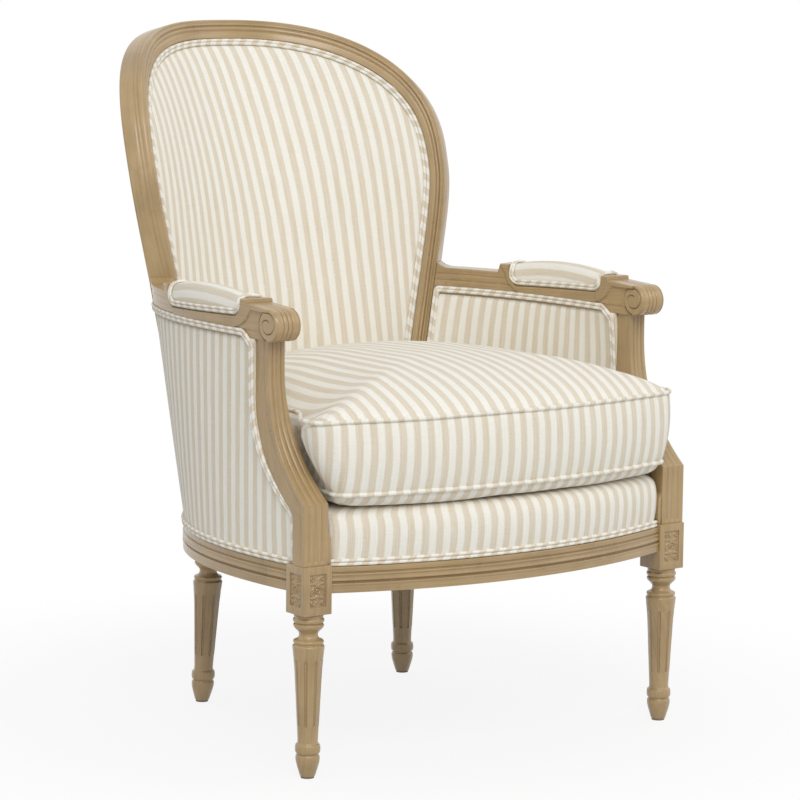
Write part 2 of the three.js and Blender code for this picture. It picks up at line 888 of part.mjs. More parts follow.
// Distances behind the scroll's centre with the height of the arm's top there
function armStations() {
  const [lowShoulder, highShoulder] = scrollShoulderShares;
  const tailFrom = rearBlockEnd + rearStepLength;
  const riseFrom = armLength.total - armRearRiseLength;
  return [
    [0, armBlockTopHeight - scrollRadius * lowShoulder],
    [frontBlockStart, armBlockTopHeight - scrollRadius * highShoulder],
    [frontBlockStart + seatGap, armBlockTopHeight],
    ...recessPlaces(0),
    [rearBlockEnd, armBlockTopHeight],
    ...steps(3).map((share) => [mix(tailFrom, riseFrom, share), armRearTopHeight]),
    ...steps(2).slice(1).map((share) => (
      [riseFrom + armRearRiseLength * share, armRearTopHeight + armRearRise * share ** 2]
    )),
  ];
}

// Section of the arm: a rebate along each lower edge takes the welt, and the inner side draws in
// towards the scroll
function armRing(distance, top) {
  const share = armLength.shareAt(distance);
  const width = armWidth - scrollNarrowing * Math.max(0, 1 - distance / frontBlockStart);
  const edge = armWidth * armEdgeShare;
  const line = armWeltLineHeight + seatGap;
  const corners = [
    [width - coverInset, armBottomHeight],
    [coverInset, armBottomHeight],
    [coverInset, line],
    [0, line],
    [0, top - edge],
    [edge, top],
    [width - edge, top],
    [width, top - edge],
    [width, line],
    [width - coverInset, line],
  ];
  return corners.map(([inset, z]) => armPlan(share, inset, z));
}

function armRest() {
  const rings = armStations().map(([distance, top]) => armRing(distance, top));
  const scroll = new THREE.CylinderGeometry(scrollRadius, scrollRadius, scrollWidth, 24);
  scroll.rotateZ(Math.PI / 2);
  const outside = armPlan(0, 0).x + scrollOutset;
  scroll.translate(outside - scrollWidth / 2, scrollSetback, armBottomHeight + scrollRadius);
  return cutAway(join(skin(rings), scroll, armDowel(0)), supportDowel(tenonClearance));
}

// Dowel from the rear end of the arm into the side of the stile
function armDowel(grow) {
  const z = (armBottomHeight + armRearTopHeight) / 2;
  const from = stileCorner(1 + overrun / stileFaceWidth, 0.5, z);
  const depth = (dowelLength + grow) / stileFaceWidth;
  return rod(from, stileCorner(1 - depth, 0.5, z), dowelRadius + grow);
}

// Back frame

function stile() {
  const shares = evenShares(stileEdge, stileSteps);
  const floor = vec(0, 0, railTopHeight + seatGap);
  const rings = shares.map((share, station) => {
    const { ring, along } = frameRing(stileEdge, share, frameProfileShares);
    if (station === 0) {
      return cutRing(ring, along, floor, vec(0, 0, 1));
    }
    if (station === shares.length - 1) {
      return ring.map((point) => point.addScaledVector(along, -seatGap));
    }
    return ring;
  });
  const stub = stileStub(railTopHeight - stileStubLength, 0);
  return cutAway(
    join(skin(rings), stub, crestDowel(0)),
    armDowel(tenonClearance),
    bottomRailDowel(tenonClearance),
  );
}

// Dowel from the top of the stile into the crest rail
function crestDowel(grow) {
  const { ring, along } = frameRing(stileEdge, 1, [[0.5, 0.5]]);
  const from = ring[0].clone().addScaledVector(along, -seatGap - overrun);
  return rod(from, ring[0].addScaledVector(along, dowelLength + grow), dowelRadius + grow);
}

// Dowel from the end of the bottom rail into the stile
function bottomRailDowel(grow) {
  const z = bottomRailHeight + bottomRailWidth / 2;
  const deep = (fabricGap + bottomRailDepth / 2) / depthAt(z);
  const from = stileCorner(-overrun / stileFaceWidth, deep, z);
  return rod(from, stileCorner((dowelLength + grow) / stileFaceWidth, deep, z), dowelRadius + grow);
}

// Stub tenon under the stile: its section drawn in about its middle
function stileStub(bottom, grow) {
  const corners = [[0, 0], [1, 0], [1, 1], [0, 1]];
  const { ring, along } = frameRing(stileEdge, 0, corners);
  const foot = cutRing(ring, along, vec(0, 0, railTopHeight), vec(0, 0, 1));
  const centre = foot.reduce((sum, point) => sum.addScaledVector(point, 1 / foot.length), vec(0, 0, 0));
  const outline = foot.map((point) => {
    const arm = point.clone().sub(centre);
    const reach = arm.length() * stileStubShare + grow * Math.SQRT2;
    return centre.clone().addScaledVector(arm.normalize(), reach);
  });
  const levels = [bottom, railTopHeight + overrun];
  return skin(levels.map((z) => outline.map((point) => point.clone().setZ(z))));
}

function crestRail() {
  const shares = evenShares(archEdge, archSteps);
  const rings = shares.map((share) => frameRing(archEdge, share, frameProfileShares).ring);
  const hole = crestDowel(tenonClearance);
  return cutAway(toSolid(skin(rings)), hole, mirrored(hole));
}

// Point of the back's surface at a share of the opening's half-width, pushed back by a depth
function acrossBack(widthShare, z, depth) {
  const x = widthShare * (openingHalfWidth(z) - 2 * fabricGap);
  return backFace(x, z).addScaledVector(backNormal(x), depth);
}

function backBottomRail() {
  const section = [[0, 0], [0, 1], [1, 1], [1, 0]];
  const rings = steps(8).map((share) => section.map(([up, deep]) => acrossBack(
    2 * share - 1,
    bottomRailHeight + up * bottomRailWidth,
    fabricGap + deep * bottomRailDepth,
  )));
  const dowel = bottomRailDowel(0);
  return toGeometry(join(skin(rings), dowel, mirrored(dowel)));
}

// Inset of the inside of an arm: it starts level with the welt's seat behind the support
// and eases out to the inner edge of the arm rest
function insideInset(along, z) {
  const rear = supportRear(z);
  const shellX = shellPoint(shellAngle(rear, z), z).x;
  const wood = shellX - (supportOutside(z) - supportWidth(z)) - coverInset;
  const full = armWidth - coverInset;
  const rise = THREE.MathUtils.clamp((z - kneeHeight) / (armBottomHeight - kneeHeight), 0, 1);
  const share = THREE.MathUtils.clamp((along - padFlatShare) / padEaseShare, 0, 1);
  return mix(full, mix(wood, full, rise ** riseEasePower), (1 - share) ** 2);
}

// Tacking rail that carries the lower edge of the inside arm pad
function tackRail() {
  const section = [[0, 0], [1, 0], [1, 1], [0, 1]];
  const rings = insideShares.map((share) => section.map(([inward, up]) => band(
    share,
    tackRailHeight + up * tackRailWidth,
    mix(armWidth - insideArmThickness, insideInset(share, tackRailHeight) - seatGap, inward),
    supportRear(tackRailHeight) + seatGap,
  )));
  return skin(rings);
}

// Upholstery of the back

// Outline of the opening from a bottom height, up one side, over the arch and down the other
function openingOutline(bottom, sideCount) {
  const start = (bottom - railTopHeight) / (archSpringHeight - railTopHeight);
  const side = steps(sideCount).slice(0, -1).map((share) => ({
    edge: stileEdge, share: mix(start, 1, share), flip: false,
  }));
  const arch = evenShares(archEdge, archSteps).map((share) => ({ edge: archEdge, share, flip: false }));
  const other = side.map((place) => ({ ...place, flip: true })).reverse();
  return [...side, ...arch, ...other];
}

function openingPoint({ edge, share, flip }, inward, depthOf, bottom) {
  const { point, along, back, out } = edgeFrame(edge, share);
  point.addScaledVector(out, -inward).addScaledVector(back, depthOf(point.z));
  if (point.z < bottom) {
    point.addScaledVector(along, (bottom - point.z) / along.z);
  }
  if (flip) {
    point.x = -point.x;
  }
  return point;
}

// Point at a depth behind the back's face whose height is given
function behindFace(x, z, depth) {
  const normal = backNormal(x);
  return backFace(x, z - depth * normal.z).addScaledVector(normal, depth);
}

// Closed ring round the opening: the sides and arch, then back along the bottom
function openingRing(bottom, inward, depthOf) {
  const places = openingOutline(bottom, 6);
  const around = places.map((place) => openingPoint(place, inward, depthOf, bottom));
  const half = openingHalfWidth(bottom) - inward;
  const along = steps(5).slice(1, -1).map((share) => (
    behindFace(mix(-half, half, share), bottom, depthOf(bottom))
  ));
  return [...around, ...along];
}

// The ring drawn in towards the middle of the back, on a surface at a depth
function drawnIn(ring, share, centreHeight, depthOf) {
  return ring.map((point) => {
    const z = mix(centreHeight, point.z, share);
    return behindFace(point.x * share, z, depthOf(z));
  });
}

const insideBackMiddle = (insideBackBottomHeight + archSpringHeight + archRise) / 2;

function insideBackPad() {
  const lip = () => weltHeight / 2;
  const rear = () => insideBackThickness;
  const edgeRing = openingRing(insideBackBottomHeight, fabricGap, lip);
  const flatRing = openingRing(insideBackBottomHeight, weltWidth + 2 * fabricGap, lip);
  const rearRing = openingRing(insideBackBottomHeight, fabricGap, rear);
  const bulged = insideBackRingShares.map((share) => drawnIn(
    flatRing,
    share,
    insideBackMiddle,
    () => -insideBackBulge * (1 - share ** insideBackPower),
  ));
  const behind = hiddenRingShares.map((share) => drawnIn(rearRing, share, insideBackMiddle, rear));
  return skin([...behind, rearRing, edgeRing, flatRing, ...bulged]);
}

// Setback of the inside back's front at a place, for what must stay clear of it
function insideBackFront(x, z) {
  const halfHeight = insideBackMiddle - insideBackBottomHeight;
  const upShare = Math.abs(z - insideBackMiddle) / halfHeight;
  const sideShare = Math.abs(x) / openingHalfWidth(z);
  const share = Math.min(1, Math.max(upShare, sideShare));
  return backFace(x, z).y - insideBackBulge * (1 - share ** insideBackPower);
}

function outsideBackCover() {
  const bottom = railTopHeight + fabricGap;
  const outer = (z) => depthAt(z) - weltHeight / 2;
  const inner = (z) => outer(z) - outsideBackThickness;
  const middle = (bottom + archSpringHeight + archRise) / 2;
  const innerRing = openingRing(bottom, fabricGap, inner);
  const outerRing = openingRing(bottom, fabricGap, outer);
  const front = hiddenRingShares.map((share) => drawnIn(innerRing, share, middle, inner));
  const behind = hiddenRingShares.map((share) => drawnIn(outerRing, share, middle, outer));
  return skin([...front, innerRing, outerRing, ...behind.reverse()]);
}

// Upholstery of the arms

function outsideArmCover() {
  const surface = (inset) => (along, z) => band(along, z, inset, supportRear(z) + fabricGap);
  const inner = surface(coverInset + coverThickness);
  const bottom = railTopHeight + fabricGap;
  const levels = [bottom, ...sweepLevels(bottom + weltWidth)];
  return clearOfDie(sheet(surface(coverInset), inner, steps(armSteps), levels));
}

// Cuts the die block, with a gap all round, out of a piece that passes it
function clearOfDie(geometry) {
  const side = dieSide + 2 * fabricGap;
  const die = box(vec(legAxis, 0, dieTopHeight + seatGap - dieSide / 2), side, side, dieSide);
  return cutAway(toSolid(geometry), die);
}

function insideArmPad() {
  const bottom = tackRailHeight + tackRailWidth + fabricGap;
  const levels = sweepLevels(bottom);
  const face = (along, z) => {
    const up = (z - bottom) / (levels.at(-1) - bottom);
    const swell = insideArmBulge * Math.sin(along * Math.PI) ** 2 * Math.sin(up * Math.PI);
    return band(along, z, insideInset(along, z) + swell, supportRear(z) + fabricGap);
  };
  const behind = (along, z) => (
    band(along, z, armWidth - fabricGap - insideArmThickness, supportRear(z) + fabricGap)
  );
  return sheet(face, behind, insideShares, levels);
}

// Horseshoe outlines of the seat: bowed front, sides that follow the shell, wrapped back

// Ring at a height from a front line, a side inset and a back line
function horseshoe(height, { half, corner, front, side, back }, counts) {
  const frontRun = steps(counts.front).slice(0, -1).map((share) => {
    const x = share * (half - corner);
    return vec(x, front(x), height);
  });
  const cornerRun = steps(counts.corner).slice(0, -1).map((share) => {
    const turn = (share * Math.PI) / 2;
    const x = half - corner + corner * Math.sin(turn);
    return vec(x, front(x) + corner * (1 - Math.cos(turn)), height);
  });
  const start = angleAt(front(half) + corner, height, side);
  let low = start;
  let high = Math.PI / 2;
  for (let round = 0; round < 30; round += 1) {
    const middle = (low + high) / 2;
    const point = shellPoint(middle, height, side);
    if (point.y < back(point.x)) {
      low = middle;
    } else {
      high = middle;
    }
  }
  const first = shellPoint(start, height, side);
  const sideRun = steps(counts.side).slice(0, -1).map((share) => {
    const point = shellPoint(mix(start, low, share), height, side);
    point.x += (half - first.x) * (1 - share) ** endBlendPower;
    return point;
  });
  const meet = shellPoint(low, height, side);
  const backRun = steps(counts.back).map((share) => {
    const x = meet.x * (1 - share);
    return vec(x, back(x), height);
  });
  const right = [...frontRun, ...cornerRun, ...sideRun, ...backRun];
  const left = right.slice(1, -1).reverse().map((point) => vec(-point.x, point.y, point.z));
  return [...right, ...left];
}

function deckOutline(height, inward) {
  return horseshoe(height, {
    half: supportInside - earWidth - fabricGap - inward,
    corner: overrun,
    front: (x) => frontLine(x) + deckFrontSetback + inward,
    side: armWidth + deckSideClearance + inward,
    back: (x) => backFace(x, height).y - fabricGap - inward,
  }, deckCounts);
}

function seatDeck() {
  const bottom = railTopHeight + 2 * (seatGap + strapThickness) + seatGap;
  return skin(deckLevelShares.map(([up, inward]) => (
    deckOutline(mix(bottom, deckTopHeight, up), inward * deckFrontRoll)
  )));
}

// Loose cushion

const cushionBottom = deckTopHeight + seatGap;
const cushionBottomSeam = cushionBottom + cushionBottomCrown;
const cushionTopSeam = cushionBottomSeam + cushionBoxing;
const cushionSideInset = armWidth - coverInset + insideArmBulge + cushionSideClearance;

function cushionOutline(height, inward) {
  const lean = (x) => Math.min(
    insideBackFront(x, cushionBottomSeam),
    insideBackFront(x, cushionTopSeam),
    insideBackFront(x, cushionTopSeam + cushionTopCrown),
  );
  const widest = shellPoint(0, cushionTopSeam, cushionSideInset);
  return horseshoe(height, {
    half: widest.x - inward,
    corner: cushionCornerRadius,
    front: (x) => frontLine(0) + cushionFrontSetback + inward + cushionFrontSag * (x / widest.x) ** 2,
    side: cushionSideInset + inward,
    back: (x) => lean(x) - cushionClearance - inward,
  }, cushionCounts);
}

// Draws a ring in towards the cushion's middle
function cushionRing(outline, share, z) {
  const middle = vec(0, shellLevel(z).widest, z);
  return outline.map((point) => point.clone().setZ(z).lerp(middle, 1 - share));
}

function seatCushion() {
  const seam = cushionOutline(cushionBottomSeam, 2 * cushionCordRadius + 3 * fabricGap);
  const waist = cushionOutline(cushionBottomSeam, cushionDrawIn + cushionCordRadius);
  const flatShare = cushionBelowShares[0];
  const below = cushionBelowShares.map((share) => {
    const bulge = 1 - ((share - flatShare) / (1 - flatShare)) ** 2;
    return cushionRing(seam, share, cushionBottomSeam - cushionBottomCrown * bulge);
  });
  const above = cushionAboveShares.map((share) => {
    const bulge = (1 - share ** cushionCrownPower) ** cushionFullnessPower;
    return cushionRing(seam, share, cushionTopSeam + cushionTopCrown * bulge);
  });
  return skin([
    ...below,
    cushionRing(seam, 1, cushionBottomSeam),
    cushionRing(waist, 1, (cushionBottomSeam + cushionTopSeam) / 2),
    cushionRing(seam, 1, cushionTopSeam),
    ...above,
  ]);
}

// Arm pads

// Point of the pad that fills the recess and wraps over both sides of the arm, at a distance
// behind the scroll, a height of its underside there and a turn from the outer side over the top
function padPoint(distance, underside, turn) {
  const along = Math.sin(((distance - recessStart) / recessLength) * Math.PI);
  const top = armBlockTopHeight - armPadEndDrop + (armPadEndDrop + armPadCrown) * along ** padSectionPower;
  const across = Math.sign(Math.cos(turn)) * Math.abs(Math.cos(turn)) ** padSectionPower;
  const up = Math.max(0, Math.sin(turn)) ** padSectionPower;
  const inset = (armWidth - across * armPadWidth) / 2;
  return armPlan(armLength.shareAt(distance), inset, mix(underside, top, up));
}

function armPad() {
  const turns = steps(padSides).map((share) => share * Math.PI);
  return skin(recessPlaces(fabricGap).slice(1, -1).map(([distance, z]) => (
    turns.map((turn) => padPoint(distance, z, turn))
  )));
}

// Welts

// Horizontal outward normals of a line of points that runs with the outside on its right
function sideNormals(points) {
  return points.map((point, station) => {
    const before = points[Math.max(0, station - 1)];
    const after = points[Math.min(points.length - 1, station + 1)];
    return after.clone().sub(before).cross(vec(0, 0, 1)).normalize();
  });
}

// Double cord along points that lie on the surface it is laid on
function welt(points, normals, endless = false) {
  const last = points.length - 1;
  const rings = points.map((point, station) => {
    const before = station > 0 ? station - 1 : (endless ? last : 0);
    const after = station < last ? station + 1 : (endless ? 0 : last);
    const along = points[after].clone().sub(points[before]).normalize();
    const across = along.cross(normals[station]).normalize();
    return doubleWeltShares.map(([side, up]) => point.clone()
      .addScaledVector(across, side * weltWidth)
      .addScaledVector(normals[station], seatGap + up * weltHeight));
  });
  return skin(rings, endless);
}

function backWelt(bottom, depthOf, outward) {
  const places = openingOutline(bottom, 6);
  const inward = fabricGap + weltWidth / 2;
  const points = places.map((place) => openingPoint(place, inward, depthOf, bottom));
  const normals = places.map((place) => {
    const normal = edgeFrame(place.edge, place.share).back.multiplyScalar(outward);
    if (place.flip) {
      normal.x = -normal.x;
    }
    return normal;
  });
  return welt(points, normals);
}

// Setback of a welt's middle line beside the sweeping rear edge of the arm support
function besideSupport(z) {
  const step = weltWidth / 2;
  const slope = Math.max(
    supportRear(z + step) - supportRear(z),
    supportRear(z) - supportRear(z - step),
  ) / step;
  return supportRear(z) + fabricGap + (weltWidth / 2) * Math.hypot(1, slope);
}

// Shares along the arm rest at which a welt in its rebate has its corners, rear end first
function rebateShares() {
  const distances = armStations().map(([distance]) => distance);
  const first = besideSupport(armBottomHeight) + weltWidth - scrollSetback;
  const kept = distances.filter((distance) => distance > first && distance < armLength.total);
  const last = armLength.total - 2 * fabricGap;
  return [...kept, last].reverse().map((distance) => armLength.shareAt(distance));
}

// Welt of an arm: in the rebate of the arm rest, round the corner and down beside the support.
// The inset is a function of the place; outward is 1 for the outside and -1 for the inside.
function armWeltRun(insetAt, outward, bottom, footShares) {
  const top = armWeltLineHeight - weltWidth / 2;
  const foot = bottom + weltWidth / 2;
  const upper = sweepLevels(foot).slice(1).reverse();
  const places = [
    ...rebateShares().map((share) => [share, top, armStart]),
    ...[top, ...upper, foot].map((z) => [0, z, besideSupport(z)]),
    ...footShares.map((share) => [share, foot, supportRear(foot) + fabricGap]),
  ];
  const at = ([share, z, start]) => band(share, z, insetAt(share, z), start);
  const nudge = 1e-3;
  const normals = places.map(([share, z, start]) => {
    const along = at([share + nudge, z, start]).sub(at([share - nudge, z, start]));
    const up = at([share, z + nudge, start]).sub(at([share, z - nudge, start]));
    return along.cross(up).normalize().multiplyScalar(outward);
  });
  return welt(places.map(at), normals);
}

function outsideArmWelt() {
  const last = 1 - fabricGap / weltWidth / armSteps;
  const footShares = [...steps(armSteps).slice(1, -1), last];
  return clearOfDie(armWeltRun(() => coverInset, 1, railTopHeight + fabricGap, footShares));
}

function insideArmWelt() {
  const inset = (along, z) => insideInset(along, z) + seatGap;
  return armWeltRun(inset, -1, cushionBottom, []);
}

function frontBorderWelt() {
  const z = railTopHeight + seatGap + weltWidth / 2;
  const outline = deckOutline(z, 0);
  const points = [...outline.slice(-deckCounts.front), ...outline.slice(0, deckCounts.front + 1)];
  return welt(points, sideNormals(points));
}

// Height of the recess at a distance behind the scroll's centre
function recessHeight(distance) {
  const wall = Math.min(distance - recessStart, recessEnd - distance, recessWallLength);
  const fullShare = Math.sqrt(1 - (1 - wall / recessWallLength) ** 2);
  const floorShare = (distance - recessStart - recessWallLength) / (recessLength - 2 * recessWallLength);
  const floor = mix(recessFrontHeight, recessRearHeight, THREE.MathUtils.clamp(floorShare, 0, 1));
  return mix(armBlockTopHeight, floor, fullShare);
}

// Welt of an arm pad: along the recess on both sides and over the top at both ends
function armPadWelt() {
  const margin = 2 * fabricGap + weltWidth / 2;
  const side = recessPlaces(margin).slice(1, -1).map(([distance, z]) => {
    const underside = recessHeight(distance) + fabricGap;
    const top = padPoint(distance, underside, Math.PI / 2).z;
    const turn = Math.asin(((z - underside) / (top - underside)) ** (1 / padSectionPower));
    return [distance, turn];
  });
  const over = (distance) => steps(padSides).slice(2, -2).map((share) => [distance, share * Math.PI]);
  const places = [
    ...side,
    ...over(recessEnd - margin),
    ...side.map(([distance, turn]) => [distance, Math.PI - turn]).reverse(),
    ...over(recessStart + margin).reverse(),
  ];
  const at = (distance, turn) => padPoint(distance, recessHeight(distance) + fabricGap, turn);
  const nudge = 1e-3;
  const normals = places.map(([distance, turn]) => {
    const along = at(distance + nudge, turn).sub(at(distance - nudge, turn));
    const round = at(distance, turn + nudge).sub(at(distance, turn - nudge));
    return along.cross(round).normalize();
  });
  const points = places.map(([distance, turn], station) => (
    at(distance, turn).addScaledVector(normals[station], fabricGap + seatGap)
  ));
  return welt(points, normals, true);
}

// Round cord on a cushion's seam
function cushionCord(z) {
  const path = cushionOutline(cushionBottomSeam, cushionCordRadius).map((point) => point.setZ(z));
  const rings = path.map((point, station) => {
    const before = path.at(station - 1);
    const after = path[(station + 1) % path.length];
    const out = after.clone().sub(before).normalize().cross(vec(0, 0, 1));
    return steps(cordSides).slice(0, -1).map((turn) => point.clone()
      .addScaledVector(out, cushionCordRadius * Math.cos(turn * 2 * Math.PI))
      .add(vec(0, 0, cushionCordRadius * Math.sin(turn * 2 * Math.PI))));
  });
  return skin(rings, true);
}

// Seat support and hidden woodwork

// Setback of the line inside the rails' outer face at the back, at a place across
function railSetbackAt(x, inset) {
  let low = 0;
  let high = Math.PI / 2;
  for (let round = 0; round < 30; round += 1) {
    const middle = (low + high) / 2;
    if (shellPoint(middle, railTopHeight, inset).x > x) {
      low = middle;
    } else {
      high = middle;
    }
  }
  return shellPoint(low, railTopHeight, inset).y;
}

function frontToBackStrap(place) {
  const x = (place - (strapCount - 1) / 2) * strapSpacing;
  const from = frontLine(x) + railThickness - strapLap;
  const to = railSetbackAt(Math.abs(x), railThickness) + strapLap;
  const z = railTopHeight + seatGap + strapThickness / 2;
  return box(vec(x, (from + to) / 2, z), strapWidth, to - from, strapThickness);
}

function crossStrap(place) {
  const y = crossStrapSetback + place * crossStrapSpacing;
  const widestAngle = angleAt(y, railTopHeight, railThickness);
  const half = shellPoint(widestAngle, railTopHeight, railThickness).x + strapLap;
  const z = railTopHeight + 2 * seatGap + 1.5 * strapThickness;
  return box(vec(0, y, z), 2 * half, strapWidth, strapThickness);
}

// Front corner block: fills the corner behind the front rail and inside the side rail
function frontCornerBlock() {
  const low = railTopHeight - cornerBlockHeight - overrun;
  const inset = railThickness + seatGap;
  const corner = shellPoint(angleAt(dieHalf, railTopHeight, inset), railTopHeight, inset);
  const alongFront = steps(2).map((share) => {
    const x = corner.x - cornerBlockLeg * (1 - share);
    return vec(x, Math.max(frontLine(x) + railThickness, dieHalf) + seatGap, low);
  });
  const alongSide = steps(2).slice(1).map((share) => {
    const y = dieHalf + seatGap + cornerBlockLeg * share;
    return shellPoint(angleAt(y, railTopHeight, inset), railTopHeight, inset).setZ(low);
  });
  const outline = [...alongFront, ...alongSide];
  return skin([0, cornerBlockHeight].map((lift) => outline.map((p) => p.clone().setZ(low + lift))));
}

// Back corner block: a curved brace across the joint of the side rail and the back rail
function backCornerBlock() {
  const low = railTopHeight - cornerBlockHeight - overrun;
  const middle = railJointAngle();
  const spread = cornerBlockLeg / seatHalfWidth;
  const section = [[0, 0], [0, 1], [1, 1], [1, 0]];
  const rings = steps(5).map((share) => section.map(([inward, up]) => shellPoint(
    mix(middle - spread, middle + spread / 2, share),
    railTopHeight,
    railThickness + seatGap + fabricGap + inward * cornerBlockLeg / 2,
  ).setZ(low + up * cornerBlockHeight)));
  return skin(rings);
}

function dustCover() {
  const outline = horseshoe(railBottomHeight, {
    half: dieInside,
    corner: overrun,
    front: (x) => frontLine(x) + dustCoverInset,
    side: dustCoverInset,
    back: () => seatWidestSetback + seatBackReach,
  }, dustCoverCounts);
  const shape = new THREE.Shape(outline.map((point) => new THREE.Vector2(point.x, point.y)));
  const sheetShape = new THREE.ExtrudeGeometry(shape, { depth: dustCoverThickness, bevelEnabled: false });
  sheetShape.translate(0, 0, railBottomHeight - seatGap - dustCoverThickness);
  const dieGap = dieSide + 2 * fabricGap;
  const neck = collarRadius + fabricGap;
  const leg = backLegTop();
  const cutters = [legAxis, -legAxis].map((x) => (
    box(vec(x, 0, railBottomHeight), dieGap, dieGap, railHeight)
  ));
  cutters.push(peg(vec(leg.x, leg.y, leg.z - railHeight), neck, railHeight));
  cutters.push(peg(vec(-leg.x, leg.y, leg.z - railHeight), neck, railHeight));
  return cutAway(toSolid(sheetShape), ...cutters);
}

// The chair

const paintedWood = { color: '#b39a78', roughness: 0.5, metalness: 0 };
const bareWood = { color: '#c9a877', roughness: 0.7, metalness: 0 };
const stripedLinen = { color: '#ece6d8', roughness: 0.95, metalness: 0 };
const weltLinen = { color: '#e2d8c2', roughness: 0.95, metalness: 0 };
const juteWeb = { color: '#b59b6c', roughness: 0.95, metalness: 0 };
const darkCloth = { color: '#2b2a28', roughness: 0.95, metalness: 0 };
const nylonGlide = { color: '#8d8272', roughness: 0.6, metalness: 0 };

const chair = new THREE.Group();
chair.name = 'bergere_chair';

function add(name, geometry, finish) {
  const mesh = new THREE.Mesh(geometry, new THREE.MeshStandardMaterial(finish));
  mesh.name = name;
  chair.add(mesh);
}

function addPair(name, geometry, finish) {
  add(`${name}_right`, geometry, finish);
  add(`${name}_left`, mirrored(geometry), finish);
}

addPair('front_leg', frontLeg(), paintedWood);
addPair('back_leg', backLeg(), paintedWood);
addPair('front_glide', glide(legAxis, 0), nylonGlide);
addPair('back_glide', glide(backLegFoot().x, backLegFoot().y), nylonGlide);

add('front_seat_rail', frontRail(), paintedWood);
addPair('side_seat_rail', sideRail(), paintedWood);
add('back_seat_rail', backRail(), paintedWood);
addPair('front_corner_block', frontCornerBlock(), bareWood);
addPair('back_corner_block', backCornerBlock(), bareWood);

addPair('arm_support', armSupport(), paintedWood);
addPair('arm_rest', armRest(), paintedWood);
addPair('arm_tack_rail', tackRail(), bareWood);
add('back_crest_rail', crestRail(), paintedWood);
addPair('back_stile', stile(), paintedWood);
add('back_bottom_rail', backBottomRail(), bareWood);

for (let place = 0; place < strapCount; place += 1) {
  add(`webbing_strap_${place + 1}`, frontToBackStrap(place), juteWeb);
}
for (let place = 0; place < crossStrapCount; place += 1) {
  add(`webbing_cross_strap_${place + 1}`, crossStrap(place), juteWeb);
}
add('dust_cover', dustCover(), darkCloth);

add('seat_deck', seatDeck(), stripedLinen);
add('front_border_welt', frontBorderWelt(), weltLinen);
add('inside_back_pad', insideBackPad(), stripedLinen);
add('inside_back_welt', backWelt(insideBackBottomHeight + overrun, () => weltHeight / 2, -1), weltLinen);
add('outside_back_cover', outsideBackCover(), stripedLinen);
add(
  'outside_back_welt',
  backWelt(railTopHeight + overrun, (z) => depthAt(z) - weltHeight / 2, 1),
  weltLinen,
);
addPair('inside_arm_pad', insideArmPad(), stripedLinen);
addPair('inside_arm_welt', insideArmWelt(), weltLinen);
addPair('outside_arm_cover', outsideArmCover(), stripedLinen);
addPair('outside_arm_welt', outsideArmWelt(), weltLinen);
addPair('arm_pad', armPad(), stripedLinen);
addPair('arm_pad_welt', armPadWelt(), weltLinen);

add('seat_cushion', seatCushion(), stripedLinen);
add('cushion_bottom_welt', cushionCord(cushionBottomSeam), weltLinen);
add('cushion_top_welt', cushionCord(cushionTopSeam), weltLinen);

const bounds = new THREE.Box3().setFromObject(chair);
const middle = bounds.getCenter(new THREE.Vector3());
chair.position.set(-middle.x, -middle.y, -bounds.min.z);

export default chair;
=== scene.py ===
# Bergere armchair: painted beech frame, striped linen upholstery and a loose seat cushion.
# Lengths in this file are millimetres unless a name says otherwise. They are laid out as the part
# is: from the line through the front legs' axes at floor level, +X right as seen from the front,
# +Y to the back, +Z up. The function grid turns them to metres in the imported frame.

import math

import bpy
from mathutils import Matrix, Vector, noise


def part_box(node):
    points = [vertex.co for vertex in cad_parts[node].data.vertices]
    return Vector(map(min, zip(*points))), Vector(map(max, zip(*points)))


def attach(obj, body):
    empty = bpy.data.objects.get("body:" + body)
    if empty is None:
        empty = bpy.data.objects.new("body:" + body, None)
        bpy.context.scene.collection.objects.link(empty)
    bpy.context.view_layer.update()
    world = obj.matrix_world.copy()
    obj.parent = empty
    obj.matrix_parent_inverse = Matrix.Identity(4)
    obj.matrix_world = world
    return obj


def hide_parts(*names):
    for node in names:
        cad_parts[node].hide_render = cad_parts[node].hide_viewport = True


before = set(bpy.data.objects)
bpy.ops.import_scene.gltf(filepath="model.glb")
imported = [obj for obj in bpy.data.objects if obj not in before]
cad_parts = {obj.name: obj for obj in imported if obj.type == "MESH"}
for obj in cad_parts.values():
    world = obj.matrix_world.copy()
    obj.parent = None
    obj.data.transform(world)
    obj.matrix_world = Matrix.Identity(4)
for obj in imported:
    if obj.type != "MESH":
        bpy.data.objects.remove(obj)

bl_info = {
    "name": "Bergere Chair",
    "version": (1, 0, 0),
    "blender": (4, 5, 0),
    "location": "3D View > Sidebar > Chair",
    "description": "Dresses the packed bergere chair with turned wood and striped upholstery",
    "category": "Object",
}

MM = 0.001
UP = Vector((0, 0, 1))
RIGHT = Vector((1, 0, 0))
FORWARD = Vector((0, -1, 0))
GLIDE_LOW, GLIDE_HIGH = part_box("front_glide_right")
SHIFT_BACK = (GLIDE_LOW.y + GLIDE_HIGH.y) / 2

# Fits
SEAT_GAP = 0.3
FABRIC_GAP = 0.6

# Front legs, die blocks and turning
LEG_AXIS = 314
DIE_SIDE = 45
DIE_HALF = DIE_SIDE / 2
DIE_BOTTOM = 229.2
DIE_TOP = 297
DIE_MIDDLE = (DIE_BOTTOM + DIE_TOP) / 2
PANEL_WIDTH = 27
PANEL_HEIGHT = 45
PANEL_DEPTH = 1.6
PANEL_BACKING = 0.6
CARVING_STEEPNESS = 1.5
CARVING_HEIGHT = 1.9
CARVING_SINK = 0.55
